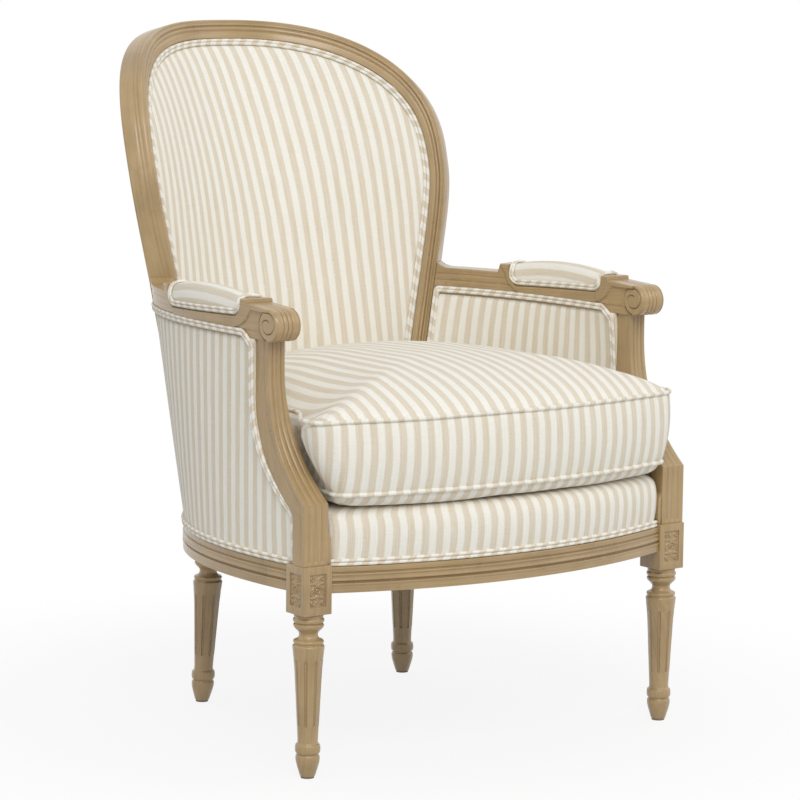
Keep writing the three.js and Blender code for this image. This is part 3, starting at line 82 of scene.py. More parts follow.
# Margins over which the carving fades out and its ground sinks
CARVING_MARGIN = 1.2
SINK_MARGIN = 0.8
COLLAR_RADIUS = 22
FOOT_HEIGHT = 2.8
FLUTE_COUNT = 8
FLUTE_DEPTH = 1.9
FLUTE_HALF_DEGREES = 6.8
FLUTE_LOW = 72
FLUTE_HIGH = 160
# Reach of a flute's round end, as a share of the leg's radius
FLUTE_END = 0.16
# Shares of a leg's height between which it tapers evenly and its rings stand at even steps
TAPER_SHARES = (0.3, 0.76)

# Back legs
BACK_LEG_X = 178
BACK_LEG_INSET = 22.9
BACK_LEG_SPLAY = 8

# Seat rails
RAIL_TOP = 293
RAIL_HEIGHT = 37
RAIL_BOTTOM = RAIL_TOP - RAIL_HEIGHT
RAIL_THICKNESS = 40
RAIL_SETBACK = 3
FRONT_BOW = 58
DIE_INSIDE = LEG_AXIS - DIE_HALF
RAIL_JOINT = 122

# Shell of the seat and of the arms: half-width, widest setback, back reach, front reach, power
SEAT_SHELL = (338, 135, 408, 520, 2.1)
ARM_SHELL = (340, 160, 475, 1400, 2.3)
ARM_LINE = 607

# Arm supports
KNEE = 381
SUPPORT_FOOT_WIDTH = 40
SUPPORT_TOP_WIDTH = 27
SUPPORT_FRONT = RAIL_SETBACK - DIE_HALF
SUPPORT_FOOT_DEPTH = 27
SUPPORT_TOP_SETBACK = 73
SUPPORT_TOP_DEPTH = 30
SWEEP_HEIGHT = 188
SWEEP_POWER_FRONT = 2.5
SWEEP_POWER_REAR = 2.4
REED_DEPTH = 1.7
REED_START = 3.5
REED_RISE = 3
SIDE_BEAD_SETBACK = 7.2
# Bead on the outer side of a support: millimetres out, and back from the bead's setback
SIDE_BEAD = [(0, 5.4), (0, 4.4), (0.3, 3.6), (0.9, 2.8), (1.2, 1.9), (0.9, 1.0), (0.3, 0.2),
             (0, -0.6)]
SUPPORT_OUTSIDE_FOOT = LEG_AXIS + DIE_HALF - SEAT_GAP
SUPPORT_OUTSIDE_TOP = ARM_SHELL[0] - 6.5
SUPPORT_INSIDE = SUPPORT_OUTSIDE_FOOT - SUPPORT_FOOT_WIDTH
EAR_WIDTH = 6
EAR_HEIGHT = 46
EAR_DEPTH = 18
EAR_SPREAD = 1.08
EAR_OUTLINE = [(0, 0), (EAR_WIDTH, 0), (EAR_WIDTH, 34), (EAR_WIDTH - 0.4, 37), (EAR_WIDTH - 2, 40),
               (EAR_WIDTH - 3.6, 42.4), (EAR_WIDTH - 4.6, 44.5), (EAR_WIDTH - 5, EAR_HEIGHT),
               (0, EAR_HEIGHT)]

# Arm rests
ARM_BOTTOM = 595
ARM_REAR_TOP = 635
ARM_REAR_RISE = 7.5
ARM_REAR_RISE_LENGTH = 22
ARM_BLOCK_TOP = 648
RECESS_FRONT_Z = 622.5
RECESS_REAR_Z = 616.5
ARM_WIDTH = 43
SCROLL_RADIUS = 22
SCROLL_WIDTH = 41
SCROLL_OUTSET = 3.5
SCROLL_NARROWING = 5.5
SCROLL_SETBACK = 63
FRONT_BLOCK_START = 55
NOSE_DROPS = (9, 5)
RECESS_START = 69
RECESS_LENGTH = 217.5
RECESS_END = RECESS_START + RECESS_LENGTH
RECESS_WALL = 20
REAR_BLOCK_END = RECESS_END + 20
ARM_EDGE_RADIUS = 2.2
STEP_DEPTH = 2.2
STEP_END_REACH = 40
BORDER_Z = 634.5
BORDER_FLARE = (14, 46)
TAIL_GROOVES = (616.5, 626)
TAIL_GROOVE_DEPTH = 1.2
REED_PLACES = (0.335, 0.5, 0.665)
VOLUTE_DEPTH = 2.0
VOLUTE_HALF_WIDTH = 0.85
# Height, and distance behind the scroll, of the curved step in the arm's side
STEP_LINE = [(606, 90), (609, 80), (612, 71), (616, 63.5), (620, 58), (625, 53.5), (630, 49.5),
             (633, 47), (634.5, 46)]
# Degrees round the scroll from the back over the top, and radius, of the carved volute
VOLUTE = [(53, 22), (60, 20.2), (70, 18.6), (80, 17.8), (88, 17.5), (130, 17), (163, 16.5),
          (187, 15.2), (212, 13.2), (255, 11.8), (290, 12), (330, 13.2), (360, 14), (376, 13),
          (400, 10.4), (430, 7.6), (455, 6.4), (485, 4.6)]
RIM_LINE = [(-80, 20.9), (53, 20.9)]
# Reeds across the scroll's nose: share of the width, and millimetres up
NOSE = [(0.06, -0.9), (0.12, 0.2), (0.2, 0.5), (0.28, 0.1), (0.315, -0.5), (0.335, -1.5),
        (0.355, -0.5), (0.4, 0.3), (0.45, 0.3), (0.48, -0.4), (0.5, -1.5), (0.52, -0.4),
        (0.55, 0.3), (0.6, 0.3), (0.645, -0.5), (0.665, -1.5), (0.685, -0.5), (0.72, 0.1),
        (0.8, 0.5), (0.88, 0.2), (0.94, -0.9)]

# Back frame
RECLINE = math.radians(16.7)
WRAP_RADIUS = 208.7
BACK_FOOT = 495.9
ARCH_HALF = 248.3
ARCH_RISE = 183
ARCH_SPRING = 800
ARCH_POWER = 2 / 2.75
STILE_FOOT = 146.6
STILE_EASE = 60
STILE_FACE = 23.5
CREST_FACE = 31
FRAME_DEPTH = 38
STILE_DEPTH = 52
# Above the arms the outer edge of the back frame turns moulded: start, and length of the change
OUTER_MOULD_START = ARM_BLOCK_TOP + 14
OUTER_MOULD_EASE = 26

# Upholstery
COVER_INSET = 3.3
COVER_THICKNESS = 5
PAD_THICKNESS = 14
BACK_PAD_BOTTOM = 382
BACK_PAD_MIDDLE = (BACK_PAD_BOTTOM + ARCH_SPRING + ARCH_RISE) / 2
BACK_CROWN = 52
BACK_ROLL = 8
OUTSIDE_BACK_SWELL = 3.5
OUTSIDE_ARM_SWELL = 1.6
ARM_PAD_BULGE = 9
INSIDE_ARM_THICKNESS = 9
# Shares of an inside arm's length at which it starts to swing out from its support, and that takes
INSIDE_ARM_EASE = (0.045, 0.15)
# Setback at which the stripes of every level of an arm are lined up
STRIPE_START = 112
TACK_RAIL_TOP = 330
DECK_BOTTOM = 297.1
DECK_TOP = 371
DECK_MIDDLE = 180
DECK_SETBACK = 8
# Points of the deck's outline along half of its front, round a corner, along a side and the back
DECK_COUNTS = (46, 5, 40, 30)
# Stuffed edge of the seat deck: share of its height, and millimetres inwards
DECK_EDGE = [(0, 0), (0.1, -2.6), (0.25, -5), (0.45, -6.5), (0.6, -6.5), (0.74, -4.8),
             (0.84, -1.6), (0.92, 3.2), (0.965, 8.5), (0.99, 15), (1, 24)]
WELT_WIDTH = 10
WELT_HEIGHT = 4.4
WELT_STEP = 2.6
WELT_PUCKER = 0.09
WELT_PUCKER_LENGTH = 5.5
CORD_RADIUS = 3.2

# Loose cushion
CUSHION_BOTTOM_SEAM = 392.8
CUSHION_TOP_SEAM = 494.5
CUSHION_CROWN = 60
CUSHION_BELLY = 20
CUSHION_SAG = 43
CUSHION_SWELL = 9
CUSHION_CORNER = 20
CUSHION_AHEAD = 3
CUSHION_CLEAR = 7
CUSHION_MIDDLE = 150
# Cloth of the cushion: gathers by the seams and dents of use, with the lengths they run over
CUSHION_GATHER = 1.3
CUSHION_GATHER_LENGTH = 11
CUSHION_GATHER_REACH = 13
CUSHION_DENT = 2.2
CUSHION_DENT_LENGTH = 95
CORD_SWAY = 0.9
CORD_SWAY_LENGTH = 28
# A used cushion isn't even: share by which its top front corner reaches out, and pull of its seam
CUSHION_LEFT = (0.150, 20)
CUSHION_RIGHT = (0.064, 11)
CUSHION_BOTTOM_REACH = 0.02
# Setback and length over which the corners stop pushing out, at the bottom and the top seam
CORNER_START = (-34, -10)
CORNER_LENGTH = (46, 90)
# Setback and length over which the pull of the top seam rises, and over which it fades
PULL_RISE = (-40, 70)
PULL_FADE = (90, 160)
# The border swells less from a setback at the bottom and at the top seam on, over a length
SWELL_START = (-30, 20)
SWELL_LENGTH = 50
SWELL_LEAST = 2.5
# More gathers at the front corners: their place across and back, and how far they spread
CORNER_PLACE = (275, -20)
CORNER_SPREAD = (60, 70)
CORNER_GATHER = 2.2
CUSHION_HALF_WIDTH = 290
CUSHION_INSET = ARM_WIDTH - COVER_INSET + ARM_PAD_BULGE + 2

# Arm pads
PAD_WIDTH = 36
PAD_CROWN = 10
PAD_END_DROP = 2
PAD_POWER = 0.6
PAD_CLEAR = 0.7
PAD_TUCK = 1.6
PAD_STRIPE_SHIFT = 0.0054
PAD_TURNS = 26
PAD_WELT_WIDTH = 8.5
PAD_WELT_HEIGHT = 3.8

# Under the seat
STRAP_WIDTH = 50
STRAP_THICKNESS = 1.4
STRAP_SAG = 2.0
STRAP_LAP = 14
STRAP_LIFT = 1.5
STRAP_COUNT = 4
STRAP_SPACING = 64
CROSS_STRAP_LIFT = 1.9
CROSS_STRAP_COUNT = 3
CROSS_STRAP_START = 90
CROSS_STRAP_SPACING = 100
DUST_COVER_LAP = 14
DUST_COVER_BACK = 543
DUST_COVER_MIDDLE = 230
DUST_COVER_SAG = 2.5

# Stage, in metres. Lamps: name, size, place and aim
LAMPS = (("key", (3.4, 3.4), (-2.3, -4.7, 4.9), (0, 0, 0.6)),
         ("fill", (1.6, 2.6), (3.2, -2.0, 2.4), (0, 0, 0.5)))
LAMP_COLOUR = (1, 0.99, 0.97)
SKY_COLOUR = (0.98, 0.99, 1, 1)
FLOOR_SIZE = 60
# Camera: place, degrees of azimuth, elevation and roll, and focal length in widths of the picture
CAMERA_PLACE = (-2.8183, -3.6465, 1.134)
CAMERA_DEGREES = (-36.043, 7.866, 0.680)
CAMERA_FOCUS = 3313.0 / 800
SENSOR_WIDTH = 36

# Turned leg: shares of the turned height and of the collar radius, foot first
LEG_SHARES = [
    (0, 0.47), (0.006, 0.5), (0.036, 0.59), (0.074, 0.71), (0.1, 0.76), (0.118, 0.765),
    (0.128, 0.74), (0.132, 0.68), (0.138, 0.68), (0.142, 0.74), (0.15, 0.785), (0.17, 0.8),
    (0.188, 0.785), (0.197, 0.75), (0.2, 0.68), (0.206, 0.645), (0.222, 0.635), (0.3, 0.675),
    (0.34, 0.7), (0.5, 0.78), (0.655, 0.86), (0.7, 0.9), (0.78, 0.985), (0.792, 1.005),
    (0.803, 1.0), (0.807, 0.95), (0.811, 0.9), (0.815, 0.9), (0.819, 0.94), (0.826, 0.965),
    (0.834, 0.955), (0.838, 0.92), (0.841, 0.83), (0.846, 0.72), (0.854, 0.63), (0.866, 0.59),
    (0.876, 0.59), (0.888, 0.645), (0.9, 0.77), (0.91, 0.87), (0.917, 0.93), (0.926, 0.965),
    (0.934, 0.96), (0.938, 0.9), (0.942, 0.87), (0.946, 0.93), (0.954, 0.985), (0.966, 0.985),
    (0.972, 0.93), (0.976, 0.89), (0.98, 0.92), (0.99, 0.93), (1, 0.9),
]

# Seat rail moulding: millimetres in from the face and up from the bottom
RAIL_SECTION = [
    (0.8, 0), (0.8, 5), (0.8, 10.8), (0.4, 11.3), (0, 12.1), (0, 13.2), (0.5, 14), (1.4, 14.3),
    (2.8, 15), (3.3, 16), (2.8, 16.8), (1.4, 17.3), (0.5, 17.6), (0.1, 18.4), (0.1, 19.4),
    (0.7, 20.1), (1.4, 20.8), (1.5, 22.3), (1.4, 23.8), (0.8, 24.6), (0.2, 25.3), (0.2, 26.3),
    (0.7, 27.1), (1.7, 27.5), (3, 28), (3.3, 28.8), (2.7, 29.5), (1.9, 29.8), (1.9, 33),
    (2, 35.8), (2.4, 36.7), (3.4, 37), (20, 37), (40, 37), (40, 18), (40, 0), (20, 0),
]

# Back frame moulding: shares of the face width going out and of the depth going back
FRAME_SECTION = [
    (0, 0.1), (0, 0.04), (0.03, 0.02), (0.16, 0.02), (0.335, 0.02), (0.365, 0.03), (0.395, 0.048),
    (0.42, 0.04), (0.445, 0.018), (0.475, 0), (0.55, 0), (0.595, 0.014), (0.625, 0.05),
    (0.655, 0.05), (0.68, 0.014), (0.71, 0), (0.755, 0), (0.785, 0.018), (0.805, 0.045),
    (0.83, 0.068), (0.86, 0.075), (0.89, 0.068), (0.92, 0.06), (0.95, 0.067), (0.98, 0.09),
    (0.996, 0.135), (1, 0.19), (1, 0.225), (0.98, 0.25), (0.955, 0.275), (0.98, 0.3),
    (1, 0.325), (1, 0.375), (0.98, 0.4), (0.955, 0.42), (0.975, 0.445), (0.99, 0.47),
    (0.99, 0.7), (0.99, 0.9), (0.975, 0.96),
    (0.92, 1), (0.5, 1), (0.06, 1), (0, 0.96), (0, 0.5),
]

# Front face of an arm support: shares of the width from the outer edge, and of the reed depth
REED_SECTION = [
    (0, 0.9), (0.01, 0.35), (0.05, 0), (0.12, 0), (0.19, 0.05), (0.215, 0.6), (0.245, 1),
    (0.275, 0.6), (0.3, 0.12), (0.335, 0), (0.4, 0), (0.435, 0.12), (0.46, 0.6), (0.5, 1),
    (0.54, 0.6), (0.565, 0.12), (0.6, 0), (0.665, 0), (0.7, 0.12), (0.725, 0.6), (0.755, 1),
    (0.785, 0.6), (0.81, 0.05), (0.88, 0), (0.95, 0), (0.99, 0.35), (1, 0.9),
]


def mix(start, end, share):
    return start + (end - start) * share


def clamp(value, low=0.0, high=1.0):
    return max(low, min(high, value))


def steps(count):
    return [step / count for step in range(count + 1)]


def eased(value):
    """Smooth rise from 0 to 1."""
    value = clamp(value)
    return value * value * (3 - 2 * value)


def eased_over(value, start, length):
    """Smooth rise from 0 to 1 that begins at a start and takes a length."""
    return eased((value - start) / length)


def read_off(table, place):
    """Value at a place in a table of (place, value) pairs in rising order."""
    for (low, first), (high, second) in zip(table, table[1:]):
        if place <= high:
            return mix(first, second, clamp((place - low) / max(1e-9, high - low)))
    return table[-1][1]


def softened(points, rounds=1, closed=False):
    """Cuts the corners of a line of points, so that its bends turn round."""
    for _ in range(rounds):
        pairs = list(zip(points, points[1:] + points[:1] if closed else points[1:]))
        cut = []
        for first, second in pairs:
            cut.append(tuple(mix(a, b, 0.25) for a, b in zip(first, second)))
            cut.append(tuple(mix(a, b, 0.75) for a, b in zip(first, second)))
        points = cut if closed else [tuple(points[0])] + cut + [tuple(points[-1])]
    return points


def lengths(points):
    """Length along a line of points up to each of them."""
    run = [0.0]
    for first, second in zip(points, points[1:]):
        run.append(run[-1] + (Vector(second) - Vector(first)).length)
    return run


def resampled(points, count):
    """Points at even distances along a line of tuples of any size, measured on the first three."""
    run = lengths([point[:3] for point in points])
    even, slot = [], 0
    for share in steps(count):
        wanted = share * run[-1]
        while slot < len(run) - 2 and run[slot + 1] < wanted:
            slot += 1
        part = (wanted - run[slot]) / max(1e-9, run[slot + 1] - run[slot])
        even.append(tuple(mix(a, b, part) for a, b in zip(points[slot], points[slot + 1])))
    return even


def even_places(curve, places, count):
    """Places on a curve at even distances along it, from a fine run of places."""
    return [point[3] for point in resampled([(*curve(place), place) for place in places], count)]


def dense_ends(start, end, count):
    """Places between two ends, closer together near both."""
    return [mix(start, end, (1 - math.cos(share * math.pi)) / 2) for share in steps(count)]


def bisected(low, high, short):
    """Last value between two for which a test holds."""
    for _ in range(30):
        middle = (low + high) / 2
        low, high = (middle, high) if short(middle) else (low, middle)
    return low


def mirrored(points):
    return [Vector((-point.x, point.y, point.z)) for point in points]


def sideways(before, after):
    """Level direction square to a step of an outline, outwards where it runs anticlockwise."""
    return (after - before).cross(UP).normalized()


# Shell: the outer surface of the seat rails, the outside covers and the arms, right half


def shell_level(z):
    """Half-width, setbacks and exponent of the shell at a height."""
    share = (z - RAIL_TOP) / (ARM_LINE - RAIL_TOP)
    half, widest, back, front, power = (mix(a, b, share) for a, b in zip(SEAT_SHELL, ARM_SHELL))
    return half, widest, back, front, 2 / power


def shell_point(angle, z, inset=0.0):
    """Point of the shell: the angle is 0 where it is widest, and a quarter turn at the back."""
    half, widest, back, front, power = shell_level(z)

    def outer(turn):
        if turn < 0:
            return half * math.cos(turn), widest + front * math.sin(turn)
        return (half * max(0.0, math.cos(turn)) ** power,
                widest + back * max(0.0, math.sin(turn)) ** power)

    x, y = outer(angle)
    low_x, low_y = outer(angle - 1e-3)
    high_x, high_y = outer(angle + 1e-3)
    run = math.hypot(high_x - low_x, high_y - low_y)
    return Vector((x - inset * (high_y - low_y) / run, y + inset * (high_x - low_x) / run, z))


def shell_angle(setback, z):
    _, widest, back, front, power = shell_level(z)
    if setback < widest:
        return math.asin((setback - widest) / front)
    return math.asin(min(1.0, (setback - widest) / back) ** (1 / power))


def angle_at(setback, z, inset):
    """Angle at which the shell, moved in by an inset, reaches a setback."""
    wanted, angle = setback, 0.0
    for _ in range(6):
        angle = shell_angle(wanted, z)
        wanted -= shell_point(angle, z, inset).y - setback
    return angle


def front_line(x):
    """Setback of the bowed front rail at a place across."""
    ends = RAIL_SETBACK - DIE_HALF
    radius = (DIE_INSIDE ** 2 + FRONT_BOW ** 2) / (2 * FRONT_BOW)
    return ends - FRONT_BOW + radius - math.sqrt(radius ** 2 - x ** 2)


# Back surface: the front face of the back frame


def back_face(x, z):
    """Point of the reclined back surface, which wraps forward at its sides."""
    setback = BACK_FOOT + (z - RAIL_TOP) * math.tan(RECLINE) - x * x / (2 * WRAP_RADIUS)
    return Vector((x, setback, z))


def back_normal(x):
    return Vector((x / WRAP_RADIUS, 1, -math.tan(RECLINE))).normalized()


def behind_face(x, z, depth):
    """Point at a depth behind the back surface, at its own height."""
    normal = back_normal(x)
    return back_face(x, z - depth * normal.z) + normal * depth


def opening_half(z):
    """Half-width between the stiles: parallel at the spring of the arch."""
    def fall(drop):
        return math.hypot(drop, STILE_EASE) - STILE_EASE
    share = fall(max(0.0, ARCH_SPRING - z)) / fall(ARCH_SPRING - RAIL_TOP)
    return mix(ARCH_HALF, STILE_FOOT, share)


def stile_edge(share):
    z = mix(RAIL_TOP, ARCH_SPRING, share)
    return back_face(opening_half(z), z)


def arch_edge(share):
    turn = share * math.pi
    x = ARCH_HALF * math.copysign(abs(math.cos(turn)) ** ARCH_POWER, math.cos(turn))
    return back_face(x, ARCH_SPRING + ARCH_RISE * max(0.0, math.sin(turn)) ** ARCH_POWER)


def edge_frame(edge, share):
    """A point of the frame's inner edge, with the directions along it, backwards and outwards."""
    along = (edge(min(1.0, share + 1e-3)) - edge(max(0.0, share - 1e-3))).normalized()
    point = edge(share)
    back = back_normal(point.x)
    back = (back - along * back.dot(along)).normalized()
    return point, along, back, back.cross(along).normalized()


def frame_point(edge, share, across, deep):
    """Point of the back frame, from shares of its face's width and of its depth."""
    point, _, back, out = edge_frame(edge, share)
    width = mix(STILE_FACE, CREST_FACE, clamp((point.z - ARCH_SPRING) / ARCH_RISE))
    return point + out * across * width + back * deep * depth_at(point.z)


def depth_at(z):
    return mix(FRAME_DEPTH, STILE_DEPTH, clamp((ARM_BLOCK_TOP - z) / (ARM_BLOCK_TOP - RAIL_TOP)))


def stile_corner(across, deep, z):
    """Point of the stile's section, given as shares of its face and depth, at a height."""
    share = (z - RAIL_TOP) / (ARCH_SPRING - RAIL_TOP)
    for _ in range(6):
        miss = frame_point(stile_edge, clamp(share), across, deep).z - z
        share = clamp(share - miss / (ARCH_SPRING - RAIL_TOP))
    return frame_point(stile_edge, share, across, deep)


# Arm support


def support_front(z):
    share = clamp((KNEE + SWEEP_HEIGHT - z) / SWEEP_HEIGHT)
    sweep = mix(SUPPORT_TOP_SETBACK, SUPPORT_FRONT, share ** SWEEP_POWER_FRONT)
    return SUPPORT_FRONT if z < KNEE else sweep


def support_rear(z):
    foot = SUPPORT_FRONT + SUPPORT_FOOT_DEPTH
    turn = KNEE - SUPPORT_FOOT_DEPTH / 2
    reach = SWEEP_HEIGHT - SUPPORT_FOOT_DEPTH
    share = 1 if z < turn else clamp((turn + reach - z) / reach) ** SWEEP_POWER_REAR
    return mix(SUPPORT_TOP_SETBACK + SUPPORT_TOP_DEPTH, foot, share)


def support_width(z):
    rise = clamp((z - KNEE) / SWEEP_HEIGHT)
    return mix(SUPPORT_FOOT_WIDTH, SUPPORT_TOP_WIDTH, math.sin(rise * math.pi / 2))


def support_outside(z):
    return mix(SUPPORT_OUTSIDE_FOOT, SUPPORT_OUTSIDE_TOP, clamp((z - KNEE) / SWEEP_HEIGHT))


# Bands of the arms: surfaces inside the shell that run from a start setback to the stile

BAND_ENDS = {}


def band(share, z, inset, start):
    """Point of a band; its end is led onto the stile."""
    key = (round(z, 3), round(inset, 3), round(start, 3))
    if key not in BAND_ENDS:
        target = stile_corner(1 + SEAT_GAP / STILE_FACE, 1 - inset / ARM_WIDTH, z)
        last = angle_at(target.y, z, inset)
        BAND_ENDS[key] = (angle_at(start, z, inset), last, target - shell_point(last, z, inset))
    first, last, miss = BAND_ENDS[key]
    return shell_point(mix(first, last, share), z, inset) + miss * max(0.0, share) ** 4


def inside_inset(along, z):
    """Inset of the inside of an arm: level with the support's inner edge, then eased out."""
    rear = support_rear(z)
    shell_x = shell_point(shell_angle(rear, z), z).x
    wood = shell_x - (support_outside(z) - support_width(z)) - COVER_INSET
    full = ARM_WIDTH - COVER_INSET
    rise = clamp((z - KNEE) / (ARM_BOTTOM - KNEE))
    start, length = INSIDE_ARM_EASE
    share = clamp((along - start) / length)
    return mix(full, mix(wood, full, rise ** 3), (1 - share) ** 2)


def arm_plan(share, inset, z=ARM_LINE):
    """Point of the arm rest: share of its length, inset from its outer side, height."""
    return band(share, z, inset, SCROLL_SETBACK)


ARM_RUN = lengths([arm_plan(share, 0) for share in steps(300)])
ARM_LENGTH = ARM_RUN[-1]


def arm_share(distance):
    """Share along the arm at a distance behind the scroll, measured on the outer line."""
    slot = next((i for i, length in enumerate(ARM_RUN) if length >= distance), 300)
    slot = min(300, max(1, slot))
    part = (distance - ARM_RUN[slot - 1]) / (ARM_RUN[slot] - ARM_RUN[slot - 1])
    return min(1.0, (slot - 1 + part) / 300)


# Mesh making: every piece starts as a primitive that bpy.ops adds


def deselect():
    if bpy.context.object and bpy.context.object.mode != "OBJECT":
        bpy.ops.object.mode_set(mode="OBJECT")
    bpy.ops.object.select_all(action="DESELECT")


def pick(piece):
    deselect()
    piece.select_set(True)
    bpy.context.view_layer.objects.active = piece


def edit(piece, select="SELECT"):
    pick(piece)
    bpy.ops.object.mode_set(mode="EDIT")
    bpy.ops.mesh.select_all(action=select)


def measured(rows):
    """Places on the cloth in metres: lengths across each row, and along the rows' middle."""
    column = len(rows[0]) // 2
    run = lengths([row[column] for row in rows])
    return [[(across * MM, along * MM) for across in lengths(row)]
            for row, along in zip(rows, run)]


def choose_faces(piece, test):
    """Selects the faces that a test accepts, and stays in edit mode."""
    edit(piece, "DESELECT")
    bpy.ops.mesh.select_mode(type="FACE")
    bpy.ops.object.mode_set(mode="OBJECT")
    for polygon in piece.data.polygons:
        polygon.select = test(polygon)
    bpy.ops.object.mode_set(mode="EDIT")


def grid(name, rows, cloth=None):
    """An open surface through rows of points. cloth holds the points' places on the cloth."""
    deselect()
    across = len(rows[0])
    bpy.ops.mesh.primitive_grid_add(
        x_subdivisions=across - 1, y_subdivisions=len(rows) - 1, size=1, location=(0, 0, 0))
    piece = bpy.context.object
    piece.name = piece.data.name = name
    places = [point for row in rows for point in row]
    flat = [value for x, y, z in places for value in (x * MM, y * MM + SHIFT_BACK, z * MM)]
    piece.data.vertices.foreach_set("co", flat)
    cloth = cloth or measured(rows)
    where = [place for row in cloth for place in row]
    layer = piece.data.uv_layers.active
    spots = [value for loop in piece.data.loops for value in where[loop.vertex_index]]
    layer.data.foreach_set("uv", spots)
    piece.data.update()
    return piece


def closed_up(piece, caps=True):
    """Merges the seam of a wound grid, closes its ends and turns its faces outwards."""
    edit(piece)
    bpy.ops.mesh.remove_doubles(threshold=2e-6)
    if caps:
        bpy.ops.mesh.select_all(action="DESELECT")
        bpy.ops.mesh.select_mode(type="EDGE")
        bpy.ops.mesh.select_non_manifold(
            extend=False, use_wire=False, use_boundary=True, use_multi_face=False,
            use_non_contiguous=False, use_verts=False)
        bpy.ops.mesh.fill_holes(sides=0)
    return turned_out(piece)


def turned_out(piece):
    edit(piece)
    bpy.ops.mesh.normals_make_consistent(inside=False)
    bpy.ops.object.mode_set(mode="OBJECT")
    return piece


def loft(name, rings, cloth=None, endless=False):
    """A closed skin over closed rings."""
    rows = [list(ring) + [ring[0]] for ring in rings]
    if endless:
        rows.append(rows[0])
    return closed_up(grid(name, rows, cloth), caps=not endless)


def applied(piece, kind, **settings):
    """Adds a modifier with its settings, and applies it."""
    pick(piece)
    bpy.ops.object.modifier_add(type=kind)
    modifier = piece.modifiers[-1]
    for key, value in settings.items():
        setattr(modifier, key, value)
    bpy.ops.object.modifier_apply(modifier=modifier.name)
    return piece


def thickened(piece, thickness):
    """Gives an open surface a wall behind its faces."""
    return applied(piece, "SOLIDIFY", thickness=thickness * MM, offset=-1, use_even_offset=True)


def joined(name, *parts):
    pick(parts[0])
    for part in parts[1:]:
        part.select_set(True)
    bpy.ops.object.join()
    parts[0].name = parts[0].data.name = name
    return parts[0]


def faced(piece, way):
    """Turns an open surface so that its faces look a way."""
    total = sum((polygon.normal * polygon.area for polygon in piece.data.polygons), Vector())
    if total.dot(way) < 0:
        edit(piece)
        bpy.ops.mesh.flip_normals()
        bpy.ops.object.mode_set(mode="OBJECT")
    return piece


def sheet(piece, way, thickness):
    """An open surface made into cloth or webbing with a wall behind the side that looks a way."""
    return soft(turned_out(thickened(faced(piece, way), thickness)))


def bevelled(piece, width, degrees):
    return applied(piece, "BEVEL", width=width * MM, segments=2, limit_method="ANGLE",
                   angle_limit=math.radians(degrees))


def other_side(piece, name):
    """The same piece for the other side of the chair."""
    pick(piece)
    bpy.ops.object.duplicate(linked=False)
    copy = bpy.context.object
    copy.name = copy.data.name = name
    edit(copy)
    bpy.ops.transform.resize(value=(-1, 1, 1), center_override=(0, 0, 0))
    return turned_out(copy)


def crisp(piece, degrees=38):
    pick(piece)
    bpy.ops.object.shade_smooth_by_angle(angle=math.radians(degrees))
    return piece


def soft(piece):
    pick(piece)
    bpy.ops.object.shade_smooth()
    return piece


def fitted(piece, finish, slot, *nodes, body="chair_frame", fill=None):
    """Gives a piece its finish, and says what it rides on and which nodes it stands for."""
    piece.data.materials.clear()
    piece.data.materials.append(finish)
    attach(piece, body)
    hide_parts(*nodes)
    return piece


def fitted_pair(piece, finish, slot, node, fill=None):
    """Fits a piece made for the right side, and its copy for the left side."""
    copy = other_side(piece, piece.name.replace("_right", "_left"))
    shade = [polygon.use_smooth for polygon in piece.data.polygons]
    copy.data.polygons.foreach_set("use_smooth", shade)
    fitted(piece, finish, slot, f"{node}_right", fill=fill)
    fitted(copy, finish, slot, f"{node}_left", fill=fill)


# Materials


def linear(code):
    """sRGB hex colour as linear values with full alpha."""
    parts = [int(code[i:i + 2], 16) / 255 for i in (0, 2, 4)]
    return [p / 12.92 if p <= 0.04045 else ((p + 0.055) / 1.055) ** 2.4 for p in parts] + [1.0]


def node(tree, kind, links=(), **settings):
    """Adds a shader node. settings set its properties, or inputs where the name is in_NAME or
    in_NUMBER; links join (output socket, name or number of this node's input)."""
    made = tree.nodes.new(kind)
    for key, value in settings.items():
        if key.startswith("in_"):
            socket = key[3:]
            socket = int(socket) if socket.isdigit() else socket.replace("_", " ")
            made.inputs[socket].default_value = value
        else:
            setattr(made, key, value)
    for output, socket in links:
        tree.links.new(output, made.inputs[socket])
    return made


def new_material(name):
    material = bpy.data.materials.get(name) or bpy.data.materials.new(name)
    material.use_nodes = True
    tree = material.node_tree
    tree.nodes.clear()
    shader = node(tree, "ShaderNodeBsdfPrincipled")
    output = node(tree, "ShaderNodeOutputMaterial", [(shader.outputs[0], "Surface")])
    return material, tree, shader, output


def textured(tree, kind, place, **settings):
    """A texture node laid on a place, such as a coordinate or a mapping."""
    return node(tree, f"ShaderNodeTex{kind}", [(place, "Vector")], **settings)


def stretched(tree, place, scale):
    return node(tree, "ShaderNodeMapping", [(place, "Vector")], in_Scale=scale).outputs[0]


def between(tree, factor, low, high, **settings):
    """A colour between two hex colours."""
    tone = node(tree, "ShaderNodeMix", [(factor, "Factor")], data_type="RGBA", **settings)
    tone.inputs[6].default_value = linear(low)
    tone.inputs[7].default_value = linear(high)
    return tone


def bumped(tree, shader, height, strength, distance):
    bump = node(tree, "ShaderNodeBump", [(height, "Height")], in_Strength=strength,
                in_Distance=distance)
    tree.links.new(bump.outputs[0], shader.inputs["Normal"])


